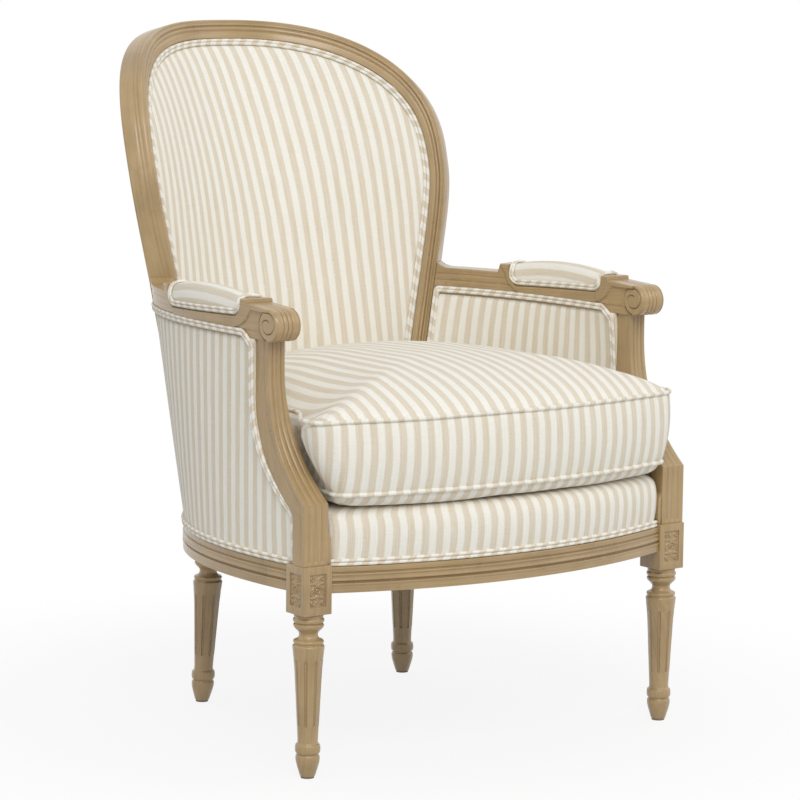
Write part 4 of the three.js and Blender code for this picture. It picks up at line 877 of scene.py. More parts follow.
def painted_beech(finish):
    """Satin taupe paint, brushed on turned and moulded beech, wiped with a darker glaze. Grooves
    stay dark, partly from the glaze and partly from painted shade that ambient occlusion lays in
    them, so edges and beads read paler; the gloss is soft and a little uneven."""
    material, tree, shader, _ = new_material("painted_beech_satin")
    place = node(tree, "ShaderNodeTexCoord")
    # Painted shade: ambient occlusion within 6 mm finds grooves and hollows, and the mask below
    # darkens them towards the groove colour. This stands for both the glaze and the shade that
    # falls there.
    groove_shade_ao = node(tree, "ShaderNodeAmbientOcclusion", samples=8, only_local=True, in_Distance=0.006)
    depth = node(tree, "ShaderNodeMapRange", [(groove_shade_ao.outputs["AO"], "Value")],
                 in_1=0.2, in_2=0.85, in_3=0.0, in_4=1.0)
    cloud = textured(tree, "Noise", place.outputs["Object"], in_Scale=14.0, in_Detail=4.0,
                     in_Roughness=0.55)
    # Grain lines of beech are 1 to 2 mm wide and run with the piece
    grain = textured(tree, "Noise", stretched(tree, place.outputs["UV"], (420, 9, 1)),
                     in_Scale=1.0, in_Detail=4.0, in_Roughness=0.6)
    worn = node(tree, "ShaderNodeMath", [(grain.outputs["Fac"], 0), (cloud.outputs["Fac"], 1)],
                operation="ADD")
    spread = node(tree, "ShaderNodeMapRange", [(worn.outputs[0], "Value")],
                  in_1=0.78, in_2=1.22, in_3=0.0, in_4=1.0)
    tone = between(tree, spread.outputs[0], finish.wood_shade, finish.wood_light)
    # Colour between the groove colour, which stands for glaze plus painted shade, and the paint's
    # tone
    glaze_and_shade_tone = between(tree, depth.outputs[0], finish.wood_groove_glaze_and_shade, finish.wood_light)
    tree.links.new(tone.outputs[2], glaze_and_shade_tone.inputs[7])
    tree.links.new(glaze_and_shade_tone.outputs[2], shader.inputs["Base Color"])
    # Brush marks are about 0.4 mm apart, drawn at 1.2 mm so that they show
    marks = textured(tree, "Noise", place.outputs["Object"], in_Scale=420.0, in_Detail=2.0)
    gloss = node(tree, "ShaderNodeMapRange", [(cloud.outputs["Fac"], "Value")],
                 in_1=0.3, in_2=0.7, in_3=finish.wood_roughness - 0.06,
                 in_4=finish.wood_roughness + 0.08)
    tree.links.new(gloss.outputs[0], shader.inputs["Roughness"])
    bumped(tree, shader, marks.outputs["Fac"], 0.12, 0.0003)
    shader.inputs["IOR"].default_value = 1.5
    shader.inputs["Coat Weight"].default_value = 0.3
    shader.inputs["Coat Roughness"].default_value = 0.16
    return material


def bare_beech():
    """Planed beech left bare under the seat: pale tan, with short darker rays and long grain."""
    material, tree, shader, _ = new_material("beech_planed_bare")
    place = node(tree, "ShaderNodeTexCoord")
    grain = textured(tree, "Noise", stretched(tree, place.outputs["Object"], (8, 90, 90)),
                     in_Scale=4.0, in_Detail=6.0)
    tone = between(tree, grain.outputs["Fac"], "B08A5B", "DDBE90")
    tree.links.new(tone.outputs[2], shader.inputs["Base Color"])
    bumped(tree, shader, grain.outputs["Fac"], 0.2, 0.0004)
    shader.inputs["Roughness"].default_value = 0.7
    return material


def striped_linen(finish, sizes):
    """Plain-woven linen with dyed stripes in the warp: matt, off-white and beige bands with
    ragged edges, uneven slub threads, and a faint fuzz that lightens it at a glance."""
    material, tree, shader, _ = new_material("linen_woven_striped")
    place = node(tree, "ShaderNodeTexCoord")
    split = node(tree, "ShaderNodeSeparateXYZ", [(place.outputs["UV"], "Vector")])

    def math_node(operation, first, second=0.0, third=0.0):
        made = node(tree, "ShaderNodeMath", operation=operation)
        for socket, value in enumerate((first, second, third)):
            if isinstance(value, bpy.types.NodeSocket):
                tree.links.new(value, made.inputs[socket])
            else:
                made.inputs[socket].default_value = value
        return made.outputs[0]

    # Slub threads: about 0.5 mm thick and 10 to 30 mm long, drawn 1.1 mm thick so that they show
    weft, warp = (textured(tree, "Noise", stretched(tree, place.outputs["UV"], scale),
                           in_Scale=1.0, in_Detail=3.0, in_Roughness=0.6).outputs["Fac"]
                  for scale in ((70, 900, 1), (800, 16, 1)))
    # Stripe: the share of the repeat, pushed a little by the threads, gives ragged edges
    drift = textured(tree, "Noise", place.outputs["UV"], in_Scale=26.0, in_Detail=2.0)
    wander = math_node("MULTIPLY_ADD", drift.outputs["Fac"], 0.0022, -0.0011)
    fray = math_node("MULTIPLY_ADD", weft, 0.0044, -0.0022)
    across = math_node("ADD", math_node("ADD", split.outputs[0], wander), fray)
    share = math_node("FRACT", math_node("DIVIDE", across, sizes.stripe_repeat))
    far = math_node("ABSOLUTE", math_node("SUBTRACT", share, 0.5))
    stripe = node(tree, "ShaderNodeMapRange", [(far, "Value")], interpolation_type="SMOOTHSTEP",
                  in_1=0.2, in_2=0.3, in_3=1.0, in_4=0.0)
    mixed = math_node("ADD", weft, math_node("MULTIPLY", warp, 1.6))
    threads = node(tree, "ShaderNodeMapRange", [(mixed, "Value")],
                   in_1=0.95, in_2=1.65, in_3=0.45, in_4=1.4)
    amount = math_node("MULTIPLY", stripe.outputs[0], threads.outputs[0])
    dyed = between(tree, amount, finish.linen_ground, finish.linen_stripe, clamp_factor=False)
    shade = math_node("MULTIPLY_ADD", warp, 0.2, 0.895)
    shade = math_node("MULTIPLY", shade, math_node("MULTIPLY_ADD", weft, 0.18, 0.91))
    colour = node(tree, "ShaderNodeVectorMath", [(dyed.outputs[2], 0)], operation="SCALE")
    tree.links.new(shade, colour.inputs["Scale"])
    tree.links.new(colour.outputs[0], shader.inputs["Base Color"])
    # Weave: threads 0.5 mm apart in the real cloth, drawn 1.4 mm apart so that they show
    waves = [math_node("SINE", math_node("MULTIPLY", split.outputs[axis],
                                         2 * math.pi / sizes.thread_spacing)) for axis in (0, 1)]
    weave = math_node("MULTIPLY", waves[0], waves[1])
    threads_up = math_node("ADD", weft, warp)
    bumped(tree, shader, math_node("MULTIPLY_ADD", weave, 0.35, threads_up), 0.55, 0.0005)
    shader.inputs["Roughness"].default_value = 0.92
    shader.inputs["Specular IOR Level"].default_value = 0.25
    shader.inputs["Sheen Weight"].default_value = 0.12
    shader.inputs["Sheen Roughness"].default_value = 0.6
    return material


def woven(name, dark, light, spacing):
    """Plain-woven cloth on its own UV map: two colours of thread that cross at a spacing."""
    material, tree, shader, _ = new_material(name)
    place = node(tree, "ShaderNodeTexCoord")
    check = textured(tree, "Checker", place.outputs["UV"], in_Scale=1 / spacing)
    check.inputs[1].default_value = linear(dark)
    check.inputs[2].default_value = linear(light)
    fibres = textured(tree, "Noise", place.outputs["UV"], in_Scale=900.0, in_Detail=3.0)
    tree.links.new(check.outputs[0], shader.inputs["Base Color"])
    bumped(tree, shader, fibres.outputs["Fac"], 0.5, 0.0006)
    shader.inputs["Roughness"].default_value = 0.95
    return material


def moulded_nylon():
    """Nylon nail-on glide, moulded: grey-brown, dull, with fine scuffs from the floor."""
    material, tree, shader, _ = new_material("nylon_moulded_glide")
    place = node(tree, "ShaderNodeTexCoord")
    scuffs = textured(tree, "Noise", place.outputs["Object"], in_Scale=500.0, in_Detail=4.0)
    tone = between(tree, scuffs.outputs["Fac"], "6F665A", "8F8577")
    tree.links.new(tone.outputs[2], shader.inputs["Base Color"])
    shader.inputs["Roughness"].default_value = 0.55
    return material


# Wood


LEG_TURNING = softened(LEG_SHARES)


def leg_radius(share):
    return COLLAR_RADIUS * read_off(LEG_TURNING, share)


def turned_column(name, foot, top):
    """Turned leg with a round-ended flute cut at each eighth of a turn."""
    height = (top - foot).length
    low, high = TAPER_SHARES
    shares = [share for share, _ in LEG_TURNING if not low < share < high]
    shares += [mix(low, high, share) for share in steps(14)]
    near_end = (-3, -2.4, -1.6, -0.8, 0, 0.8, 1.6, 2.4, 3)
    shares += [(end + offset) / height for end in (FLUTE_LOW, FLUTE_HIGH) for offset in near_end]
    turns = [(flute * 360 / FLUTE_COUNT + part * FLUTE_HALF_DEGREES, min(1, abs(part)))
             for flute in range(FLUTE_COUNT)
             for part in (-1, -0.85, -0.55, 0, 0.55, 0.85, 1, 1.8)]
    rings = []
    for share in sorted(shares):
        centre, up = foot.lerp(top, share), share * height
        beyond = max(FLUTE_LOW - up, up - FLUTE_HIGH, 0) / (leg_radius(share) * FLUTE_END)
        ring = []
        for degrees, part in turns:
            cut = FLUTE_DEPTH * math.sqrt(max(0.0, 1 - part ** 2 - beyond ** 2))
            radius = leg_radius(share) - cut
            turn = math.radians(degrees - 90)
            ring.append(centre + Vector((radius * math.cos(turn), radius * math.sin(turn), 0)))
        rings.append(ring)
    return loft(name, rings)


def ridge(x, y, points, width):
    """Height from 0 to 1 of a carved ridge that follows points."""
    near = min((x - px) ** 2 + (y - py) ** 2 for px, py in points)
    return math.exp(-near / width ** 2)


def spiral(x, y, outer, inner, turns, start, hand):
    points = []
    for share in steps(int(14 * turns)):
        radius = mix(outer, inner, share ** 0.8)
        turn = start + hand * share * turns * 2 * math.pi
        points.append((x + radius * math.cos(turn), y + radius * math.sin(turn)))
    return points


def leaf(x, y, length, direction, bend):
    points = []
    for share in steps(5):
        turn = direction + bend * share
        points.append((x + length * share * math.cos(turn), y + length * share * math.sin(turn)))
    return points


# Carving of a die panel, as lines and their widths: a scroll in the middle, three leaves above and
# below it, a small scroll in each corner and a leaf at each side
CARVING = [(spiral(0, 0.5, 6.6, 1.0, 1.7, -0.6, 1), 1.05)]
CARVING += [(leaf(x, y, 9, direction, bend), width) for x, y, direction, bend, width in (
    (0, 7.5, 1.57, 0.25, 1.5), (1, 7, 0.9, -0.6, 1.3), (-1, 7, 2.24, 0.6, 1.3),
    (0, -7, -1.57, 0.25, 1.5), (1, -7, -0.9, 0.6, 1.3), (-1, -7, -2.24, -0.6, 1.3))]
CARVING += [(spiral(x, y, 3.6, 0.8, 1.2, start, hand), 0.95) for x, y, start, hand in (
    (8.3, 16.2, 3.0, -1), (-8.3, 16.2, 0.1, 1), (8.3, -16.2, 3.2, 1), (-8.3, -16.2, 0, -1))]
CARVING += [(leaf(hand * 10.2, -5, 10, 1.57, hand * 0.35), 1.1) for hand in (1, -1)]


def carved_panel(name, across, out, centre):
    rows = []
    for up in steps(62):
        row = []
        for side in steps(38):
            x, z = (side - 0.5) * PANEL_WIDTH, (up - 0.5) * PANEL_HEIGHT
            ridges = max(ridge(x, z, points, width) for points, width in CARVING)
            margin = min(PANEL_WIDTH / 2 - abs(x), PANEL_HEIGHT / 2 - abs(z))
            height = (CARVING_HEIGHT * min(1, CARVING_STEEPNESS * ridges)
                      * clamp(margin / CARVING_MARGIN)
                      - CARVING_SINK * clamp(margin / SINK_MARGIN))
            row.append(centre + across * x + UP * z + out * (height - PANEL_DEPTH))
        rows.append(row)
    return grid(name, rows)


def die_block(name):
    """Square block with a sunk panel on its front and outer side."""
    deselect()
    bpy.ops.mesh.primitive_cube_add(
        size=MM, location=(LEG_AXIS * MM, SHIFT_BACK, DIE_MIDDLE * MM),
        scale=(DIE_SIDE, DIE_SIDE, DIE_TOP - DIE_BOTTOM))
    die = bpy.context.object
    bpy.ops.object.transform_apply(location=True, rotation=False, scale=True)
    for way in (FORWARD, RIGHT):
        choose_faces(die, lambda polygon: polygon.normal.dot(way) > 0.99 and polygon.area > 1e-3)
        bpy.ops.mesh.inset(thickness=(DIE_SIDE - PANEL_WIDTH) / 2 * MM)
        tall = DIE_TOP - DIE_BOTTOM - DIE_SIDE + PANEL_WIDTH
        bpy.ops.transform.resize(value=(1, 1, PANEL_HEIGHT / tall))
        bpy.ops.mesh.extrude_region_move(
            TRANSFORM_OT_translate={"value": way * -(PANEL_DEPTH + PANEL_BACKING) * MM})
        bpy.ops.object.mode_set(mode="OBJECT")
    die.name = name
    edit(die)
    bpy.ops.uv.cube_project(cube_size=1)
    bpy.ops.object.mode_set(mode="OBJECT")
    return bevelled(die, 0.7, 50)


def front_leg():
    """Turned column below a die block, with a carved sheet in each sunk panel."""
    foot = Vector((LEG_AXIS, 0, FOOT_HEIGHT))
    column = turned_column("column", foot, Vector((LEG_AXIS, 0, DIE_BOTTOM + SEAT_GAP)))
    panels = (
        carved_panel("front_panel", RIGHT, FORWARD, Vector((LEG_AXIS, -DIE_HALF, DIE_MIDDLE))),
        carved_panel("side_panel", -FORWARD, RIGHT,
                     Vector((LEG_AXIS + DIE_HALF, 0, DIE_MIDDLE))))
    panels = [thickened(panel, 0.4) for panel in panels]
    return crisp(joined("turned_front_leg_right", die_block("die"), column, *panels))


def rail_setback(x, inset):
    angle = bisected(0.0, math.pi / 2, lambda turn: shell_point(turn, RAIL_TOP, inset).x > x)
    return shell_point(angle, RAIL_TOP, inset).y


def back_leg():
    """Turned column whose square-cut neck runs on up to the rail."""
    top = Vector((BACK_LEG_X, rail_setback(BACK_LEG_X, BACK_LEG_INSET), RAIL_BOTTOM - SEAT_GAP))
    foot = Vector((top.x + BACK_LEG_SPLAY, top.y + BACK_LEG_SPLAY, FOOT_HEIGHT))
    neck = foot.lerp(top, (DIE_BOTTOM - FOOT_HEIGHT) / (top.z - FOOT_HEIGHT))
    column = turned_column("turned_back_leg_right", foot, neck)
    choose_faces(column, lambda polygon: polygon.normal.z > 0.9
                 and polygon.center.z > (DIE_BOTTOM - 2) * MM)
    rise = (top - neck) * MM
    bpy.ops.mesh.extrude_region_move(TRANSFORM_OT_translate={"value": rise})
    bpy.ops.object.mode_set(mode="OBJECT")
    return crisp(column)


def rail_ring(place):
    """Section of a rail, where place gives the point at an inset."""
    return [Vector((*place(inward).xy, RAIL_BOTTOM + up)) for inward, up in RAIL_PROFILE]


RAIL_PROFILE = softened(RAIL_SECTION, closed=True)


def front_rail():
    half = DIE_INSIDE - SEAT_GAP
    rings = []
    for share in steps(64):
        x = mix(-half, half, share)
        slope = front_line(x + 0.5) - front_line(x - 0.5)
        out = Vector((slope, -1, 0)).normalized()
        line = Vector((x, front_line(x), 0))
        ends = 0 if share in (0, 1) else 1
        rings.append(rail_ring(lambda inward: line - Vector((out.x * ends, out.y, 0)) * inward))
    return crisp(loft("moulded_front_rail", rings))


def shell_run(start, end, z, count):
    angles = [mix(start, end, share) for share in steps(300)]
    return even_places(lambda angle: shell_point(angle, z), angles, count)


def rail_joint_angle():
    half, _, _, _, power = shell_level(RAIL_TOP)
    return math.acos((RAIL_JOINT / half) ** (1 / power))


def side_rail():
    start = shell_angle(DIE_HALF + SEAT_GAP, RAIL_TOP)
    rings = []
    for station, angle in enumerate(shell_run(start, rail_joint_angle(), RAIL_TOP, 56)):
        ring = rail_ring(lambda inward: shell_point(angle, RAIL_TOP, inward))
        if station == 0:
            ring = [Vector((p.x, DIE_HALF + SEAT_GAP, p.z)) for p in ring]
        rings.append(ring)
    return crisp(loft("moulded_side_rail_right", rings))


def back_rail():
    start = rail_joint_angle() + SEAT_GAP / SEAT_SHELL[0]
    half = [rail_ring(lambda inward: shell_point(angle, RAIL_TOP, inward))
            for angle in shell_run(start, math.pi / 2, RAIL_TOP, 20)]
    other = [mirrored(ring) for ring in reversed(half[:-1])]
    return crisp(loft("moulded_back_rail", half + other))


def support_section(z):
    """Section of the show wood: reeded front, and a bead on the outer side."""
    width, outside = support_width(z), support_outside(z)
    front, rear = support_front(z), support_rear(z)
    inside = outside - width
    stop = clamp((z - DIE_TOP - REED_START) / REED_RISE)
    reed = REED_DEPTH * math.sin(stop * math.pi / 2)
    ring = [(outside - across * width, front + deep * (reed if 0.15 < across < 0.85 else 0.9))
            for across, deep in REED_SECTION]
    bead = front + SIDE_BEAD_SETBACK * clamp((rear - front) / SUPPORT_FOOT_DEPTH, 0.8, 1.3)
    ring += [(inside, front + 2), (inside, mix(front, rear, 0.5)), (inside, rear - 1),
             (inside, rear), (inside + 1, rear), (outside - 1, rear), (outside, rear),
             (outside, rear - 1)]
    ring += [(outside - out * stop, bead + back) for out, back in SIDE_BEAD]
    ring.append((outside, front + 2.2))
    return softened([(x, y, z) for x, y in ring], closed=True)


def ear():
    """Small shaped cheek on the inner side of the support's foot."""
    front = SUPPORT_FRONT + REED_DEPTH
    outline = softened(EAR_OUTLINE, closed=True)
    rings = [[Vector((SUPPORT_INSIDE + 0.5 - out * EAR_SPREAD, front + deep,
                      DIE_TOP + SEAT_GAP + up)) for out, up in outline]
             for deep in (0, EAR_DEPTH)]
    return bevelled(loft("ear", rings), 0.8, 60)


def arm_support():
    low, high = DIE_TOP + SEAT_GAP, ARM_BOTTOM + 3
    heights = [low + step for step in (0, 1.5, 3, 4, 5, 6, 7.5)]
    heights += [mix(low + 12, KNEE - 4, share) for share in steps(5)]
    heights += [mix(KNEE, high, share) for share in steps(44)]
    post = loft("post", [support_section(z) for z in heights])
    return crisp(joined("swept_arm_support_right", post, ear()), 32)


def step_end(z):
    """Distance behind the scroll at which the side steps back again, behind the rear block."""
    drop = clamp((ARM_BLOCK_TOP - z) / (ARM_BLOCK_TOP - ARM_LINE))
    bent = max(0.0, drop + 0.1 * math.sin(2 * math.pi * drop))
    return REAR_BLOCK_END - STEP_END_REACH * bent ** 1.3


def side_inset(distance, z):
    """How far the arm's side is cut back at a place: the carved field, the border and the tail."""
    border = eased(z - BORDER_Z + 0.5)
    field = clamp(read_off(STEP_LINE, z) - distance) * (1 - border)
    tail = clamp((distance - step_end(z)) / 1.2)
    near, far = BORDER_FLARE
    flare = SCROLL_OUTSET * clamp((far - distance) / (far - near)) ** 1.3
    grooves = sum(math.exp(-((z - at) / 1.2) ** 2) for at in TAIL_GROOVES) * tail
    return STEP_DEPTH * max(field, tail) + TAIL_GROOVE_DEPTH * grooves - flare * border


def recess_top(distance):
    """Height of the floor and the rounded end walls of the recess."""
    wall = min(distance - RECESS_START, RECESS_END - distance, RECESS_WALL)
    full = math.sqrt(max(0.0, 1 - (1 - wall / RECESS_WALL) ** 2))
    floor = clamp((distance - RECESS_START - RECESS_WALL) / (RECESS_LENGTH - 2 * RECESS_WALL))
    return mix(ARM_BLOCK_TOP, mix(RECESS_FRONT_Z, RECESS_REAR_Z, floor), full)


def arm_top(distance):
    if distance < FRONT_BLOCK_START:
        return ARM_BLOCK_TOP - mix(*NOSE_DROPS, distance / FRONT_BLOCK_START)
    if distance <= REAR_BLOCK_END:
        return recess_top(distance) if RECESS_START < distance < RECESS_END else ARM_BLOCK_TOP
    tail = clamp((distance - REAR_BLOCK_END) / 5)
    rise = clamp((distance - ARM_LENGTH + ARM_REAR_RISE_LENGTH) / ARM_REAR_RISE_LENGTH)
    return mix(ARM_BLOCK_TOP, ARM_REAR_TOP, tail) + ARM_REAR_RISE * rise ** 2


def arm_section(distance):
    """Section of the arm rest at a distance behind the scroll's centre."""
    share, top = arm_share(distance), arm_top(distance)
    width = ARM_WIDTH - SCROLL_NARROWING * max(0.0, 1 - distance / FRONT_BLOCK_START)
    line, edge = ARM_LINE + SEAT_GAP, top - ARM_EDGE_RADIUS
    levels = [mix(line, BORDER_Z - 0.8, up) for up in steps(20)]
    levels += [BORDER_Z - 0.4, BORDER_Z, BORDER_Z + 0.4]
    levels += [mix(BORDER_Z + 1, edge, up) for up in steps(6)]
    outer = [(side_inset(distance, min(z, edge)), min(z, edge)) for z in levels]
    sunk = outer[-1][0]
    outer += [(sunk + ARM_EDGE_RADIUS * (1 - math.cos(turn)),
               top - ARM_EDGE_RADIUS * (1 - math.sin(turn)))
              for turn in (0.3, 0.8, 1.2, math.pi / 2)]
    cut = 1.3 * clamp((FRONT_BLOCK_START - 1 - distance) / 1.5)
    reeds = [(width * (place + beside), top - (0 if beside else cut))
             for place in REED_PLACES for beside in (-0.03, 0, 0.03)]
    ring = [(COVER_INSET, ARM_BOTTOM), (COVER_INSET, line)] + outer + reeds
    ring += [(width - inset, z) for inset, z in reversed(outer)]
    ring += [(width - COVER_INSET, line), (width - COVER_INSET, ARM_BOTTOM),
             (width / 2, ARM_BOTTOM)]
    return [arm_plan(share, inset, z) for inset, z in ring]


def arm_stations():
    """Distances behind the scroll of the arm's sections, close where its shape changes."""
    places = [mix(0, 44, share) for share in steps(12)]
    places += [mix(45, 90, share) for share in steps(45)]
    places += [FRONT_BLOCK_START - 0.5, RECESS_START - 0.4]
    walls = [RECESS_WALL * (1 - math.cos(share * math.pi / 2)) for share in steps(10)]
    places += [RECESS_START + wall for wall in walls]
    places += [mix(RECESS_START + RECESS_WALL, RECESS_END - RECESS_WALL, share)
               for share in steps(46)[1:-1]]
    places += [RECESS_END - wall for wall in reversed(walls)]
    places += [RECESS_END + 0.4, REAR_BLOCK_END - 0.3, REAR_BLOCK_END]
    places += [mix(REAR_BLOCK_END + 1, REAR_BLOCK_END + 6, share) for share in steps(3)]
    places += [mix(REAR_BLOCK_END - 42, REAR_BLOCK_END - 1, share) for share in steps(30)]
    places += [mix(REAR_BLOCK_END + 10, ARM_LENGTH, share) for share in steps(14)]
    return sorted(places)


def volute(radius, turn):
    """Depth of the carved lines: one coils in from under the border, one follows the rear rim."""
    depth = 0.0
    for line in (VOLUTE, RIM_LINE):
        for lap in (-360, 0, 360):
            degrees = math.degrees(turn) % 360 + lap
            if line[0][0] <= degrees <= line[-1][0]:
                fade = clamp((line[-1][0] - degrees) / 6)
                near = radius - read_off(line, degrees)
                depth = max(depth, fade * math.exp(-(near / VOLUTE_HALF_WIDTH) ** 2))
    return VOLUTE_DEPTH * depth


def scroll():
    outside = arm_plan(0, 0).x + SCROLL_OUTSET
    middle_z = ARM_BOTTOM + SCROLL_RADIUS
    radii = [0.2] + [mix(0.8, SCROLL_RADIUS - 1.2, share) for share in steps(32)]
    rim = [(0.8, 0.25), (0.3, 0.8), (0, 1.5)]
    places = [(radius, 0.0, 1) for radius in radii]
    places += [(SCROLL_RADIUS - inset, back, 0) for inset, back in rim]
    places += [(SCROLL_RADIUS + up, SCROLL_WIDTH * share, 0) for share, up in NOSE]
    places += [(SCROLL_RADIUS - inset, SCROLL_WIDTH - back, 0) for inset, back in reversed(rim)]
    places += [(radius, SCROLL_WIDTH, -1) for radius in reversed(radii)]
    rows = []
    for radius, back, face in places:
        row = []
        for share in steps(108)[:-1]:
            turn = share * 2 * math.pi
            cut = volute(radius, turn) * face if face else 0
            row.append(Vector((outside - back - cut, SCROLL_SETBACK + radius * math.cos(turn),
                               middle_z + radius * math.sin(turn))))
        rows.append(row)
    return loft("scroll", rows)


def arm_rest():
    body = loft("arm", [arm_section(distance) for distance in arm_stations()])
    return crisp(joined("scrolled_arm_rest_right", body, scroll()), 34)


FRAME_PROFILE = softened(FRAME_SECTION, closed=True)


def frame_section(edge, share):
    fade = 1 - clamp((edge(share).z - OUTER_MOULD_START) / OUTER_MOULD_EASE)
    ring = []
    for across, deep in FRAME_PROFILE:
        if across > 0.9 and deep > 0.2:
            across = mix(across, 0.985, fade)
        ring.append(frame_point(edge, share, across, deep))
    return ring


def crest_rail():
    shares = even_places(arch_edge, steps(400), 110)
    rings = [frame_section(arch_edge, share) for share in shares]
    return crisp(loft("moulded_crest_rail", rings), 34)


def stile():
    """A stile, cut level where it stands on the seat rail."""
    foot = RAIL_TOP + SEAT_GAP
    rings = []
    for share in steps(60):
        ring = frame_section(stile_edge, share)
        along = edge_frame(stile_edge, share)[1]
        if share == 1:
            ring = [p - along * 0.02 for p in ring]
        elif share < 0.12:
            ring = [p if share > 0 and p.z > foot else p + along * ((foot + share - p.z) / along.z)
                    for p in ring]
        rings.append(ring)
    return crisp(loft("moulded_stile_right", rings), 34)


# Upholstery


def wrapped(x):
    """Length of cloth across the wrapped back from its middle line to a place across."""
    slope = x / WRAP_RADIUS
    return (x * math.hypot(1, slope) + WRAP_RADIUS * math.asinh(slope)) / 2


def opening_ring(bottom, inward, depth_of, side_count=22, bottom_count=22):
    """Ring inside the opening, with its normals: up one side, over the arch, down the other side
    and, where bottom_count isn't 0, back along the foot."""
    start = (bottom - RAIL_TOP) / (ARCH_SPRING - RAIL_TOP)
    side = [(stile_edge, mix(start, 1, share), 1) for share in steps(side_count)[:-1]]
    arch = [(arch_edge, share, 1) for share in even_places(arch_edge, steps(400), 84)]
    other = [(edge, share, -1) for edge, share, _ in reversed(side)]
    ring, normals = [], []
    for edge, share, hand in side + arch + other:
        point, along, back, out = edge_frame(edge, share)
        point = point - out * inward + back * depth_of(point.z)
        if point.z < bottom:
            point = point + along * ((bottom - point.z) / along.z)
        ring.append(Vector((point.x * hand, point.y, point.z)))
        normals.append(Vector((back.x * hand, back.y, back.z)))
    if bottom_count:
        half = opening_half(bottom) - inward
        ring += [behind_face(mix(-half, half, share), bottom, depth_of(bottom))
                 for share in steps(bottom_count)[1:-1]]
    return ring, normals


def back_cloth(ring):
    """Places on the cloth of the wrapped and reclined back."""
    return [(wrapped(p[0]) * MM, p[2] * MM / math.cos(RECLINE)) for p in list(ring) + [ring[0]]]


def drawn_in(ring, share, middle, depth_of):
    """A ring of the back shrunk towards its middle, at a depth that the height decides."""
    inner = []
    for point in ring:
        z = mix(middle, point.z, share)
        inner.append(behind_face(point.x * share, z, depth_of(z)))
    return inner


def back_swell(share):
    """How far the inside back stands out: an even crown, and a rolled edge near the welt."""
    return BACK_CROWN * (1 - share ** 2) + BACK_ROLL * (1 - share ** 14)


def inside_back():
    """Sprung inside back: fullest in the middle, rolled near its edge and flat under its welt."""
    rear = opening_ring(BACK_PAD_BOTTOM, FABRIC_GAP, lambda z: PAD_THICKNESS)[0]
    edge = opening_ring(BACK_PAD_BOTTOM, FABRIC_GAP, lambda z: WELT_HEIGHT / 2)[0]
    flat = opening_ring(BACK_PAD_BOTTOM, WELT_WIDTH + 2 * FABRIC_GAP, lambda z: WELT_HEIGHT / 2)[0]
    rings = [drawn_in(rear, 0.5, BACK_PAD_MIDDLE, lambda z: PAD_THICKNESS), rear, edge, flat]
    for share in [1 - step ** 1.6 for step in steps(34)][1:]:
        swell = back_swell(share)
        rings.append(drawn_in(flat, max(share, 1e-4), BACK_PAD_MIDDLE, lambda z: -swell))
    return soft(loft("inside_back_cushioned", rings, [back_cloth(ring) for ring in rings]))


def outside_back():
    bottom = RAIL_TOP + FABRIC_GAP
    middle = (bottom + ARCH_SPRING + ARCH_RISE) / 2

    def outer(z):
        return depth_at(z) - WELT_HEIGHT / 2

    def inner(z):
        return outer(z) - COVER_THICKNESS

    front = opening_ring(bottom, FABRIC_GAP, inner)[0]
    rear = opening_ring(bottom, FABRIC_GAP, outer)[0]
    flat = opening_ring(bottom, WELT_WIDTH, outer)[0]
    rings = [drawn_in(front, 0.5, middle, inner), front, rear, flat]
    for share in [1 - step for step in steps(20)][1:]:
        swell = OUTSIDE_BACK_SWELL * (1 - share ** 3)
        rings.append(drawn_in(flat, max(share, 1e-4), middle, lambda z: outer(z) + swell))
    return soft(loft("outside_back_cover_linen", rings, [back_cloth(ring) for ring in rings]))


def arm_levels(bottom, count):
    top = ARM_BOTTOM - SEAT_GAP
    return [mix(bottom, top, share) for share in steps(count)]


def arm_cloth(rows):
    """Cloth places of an arm: lengths along each level from one setback, and heights."""
    cloth = []
    for row in rows:
        run = lengths(row)
        slot = next(i for i, point in enumerate(row) if point[1] > STRIPE_START)
        part = (STRIPE_START - row[slot - 1][1]) / (row[slot][1] - row[slot - 1][1])
        start = mix(run[slot - 1], run[slot], part)
        cloth.append([((length - start) * MM, point[2] * MM) for length, point in zip(run, row)])
    return cloth


def outside_arm():
    bottom = RAIL_TOP + FABRIC_GAP
    rows = []
    for z in arm_levels(bottom, 46):
        row = []
        for along in steps(70):
            at = band(along, z, COVER_INSET, support_rear(z) + FABRIC_GAP)
            if at.y < DIE_HALF + FABRIC_GAP and at.z < DIE_TOP + 1:
                at.z = DIE_TOP + 1
            rise = (z - bottom) / (ARM_BOTTOM - bottom)
            swell = math.sin(math.pi * along) ** 0.5 * math.sin(math.pi * rise) ** 0.5
            out = Vector((at.x, at.y - 200, 0)).normalized()
            row.append(at + out * (OUTSIDE_ARM_SWELL * swell))
        rows.append(row)
    piece = grid("outside_arm_cover_linen_right", rows, arm_cloth(rows))
    return sheet(piece, RIGHT, COVER_THICKNESS - 1)


def inside_arm_face(along, z, bottom):
    up = clamp((z - bottom) / (ARM_BOTTOM - SEAT_GAP - bottom))
    full = math.sin(clamp(along) * math.pi) ** 0.8 * max(0.0, math.sin(up * math.pi)) ** 0.5
    inset = inside_inset(along, z) + ARM_PAD_BULGE * full
    return band(along, z, inset, support_rear(z) + FABRIC_GAP)


def inside_arm():
    bottom = TACK_RAIL_TOP + FABRIC_GAP
    rows = [[inside_arm_face(along, z, bottom) for along in steps(60)]
            for z in arm_levels(bottom, 40)]
    piece = grid("inside_arm_pad_linen_right", rows, arm_cloth(rows))
    return sheet(piece, -RIGHT, INSIDE_ARM_THICKNESS)


# Welts


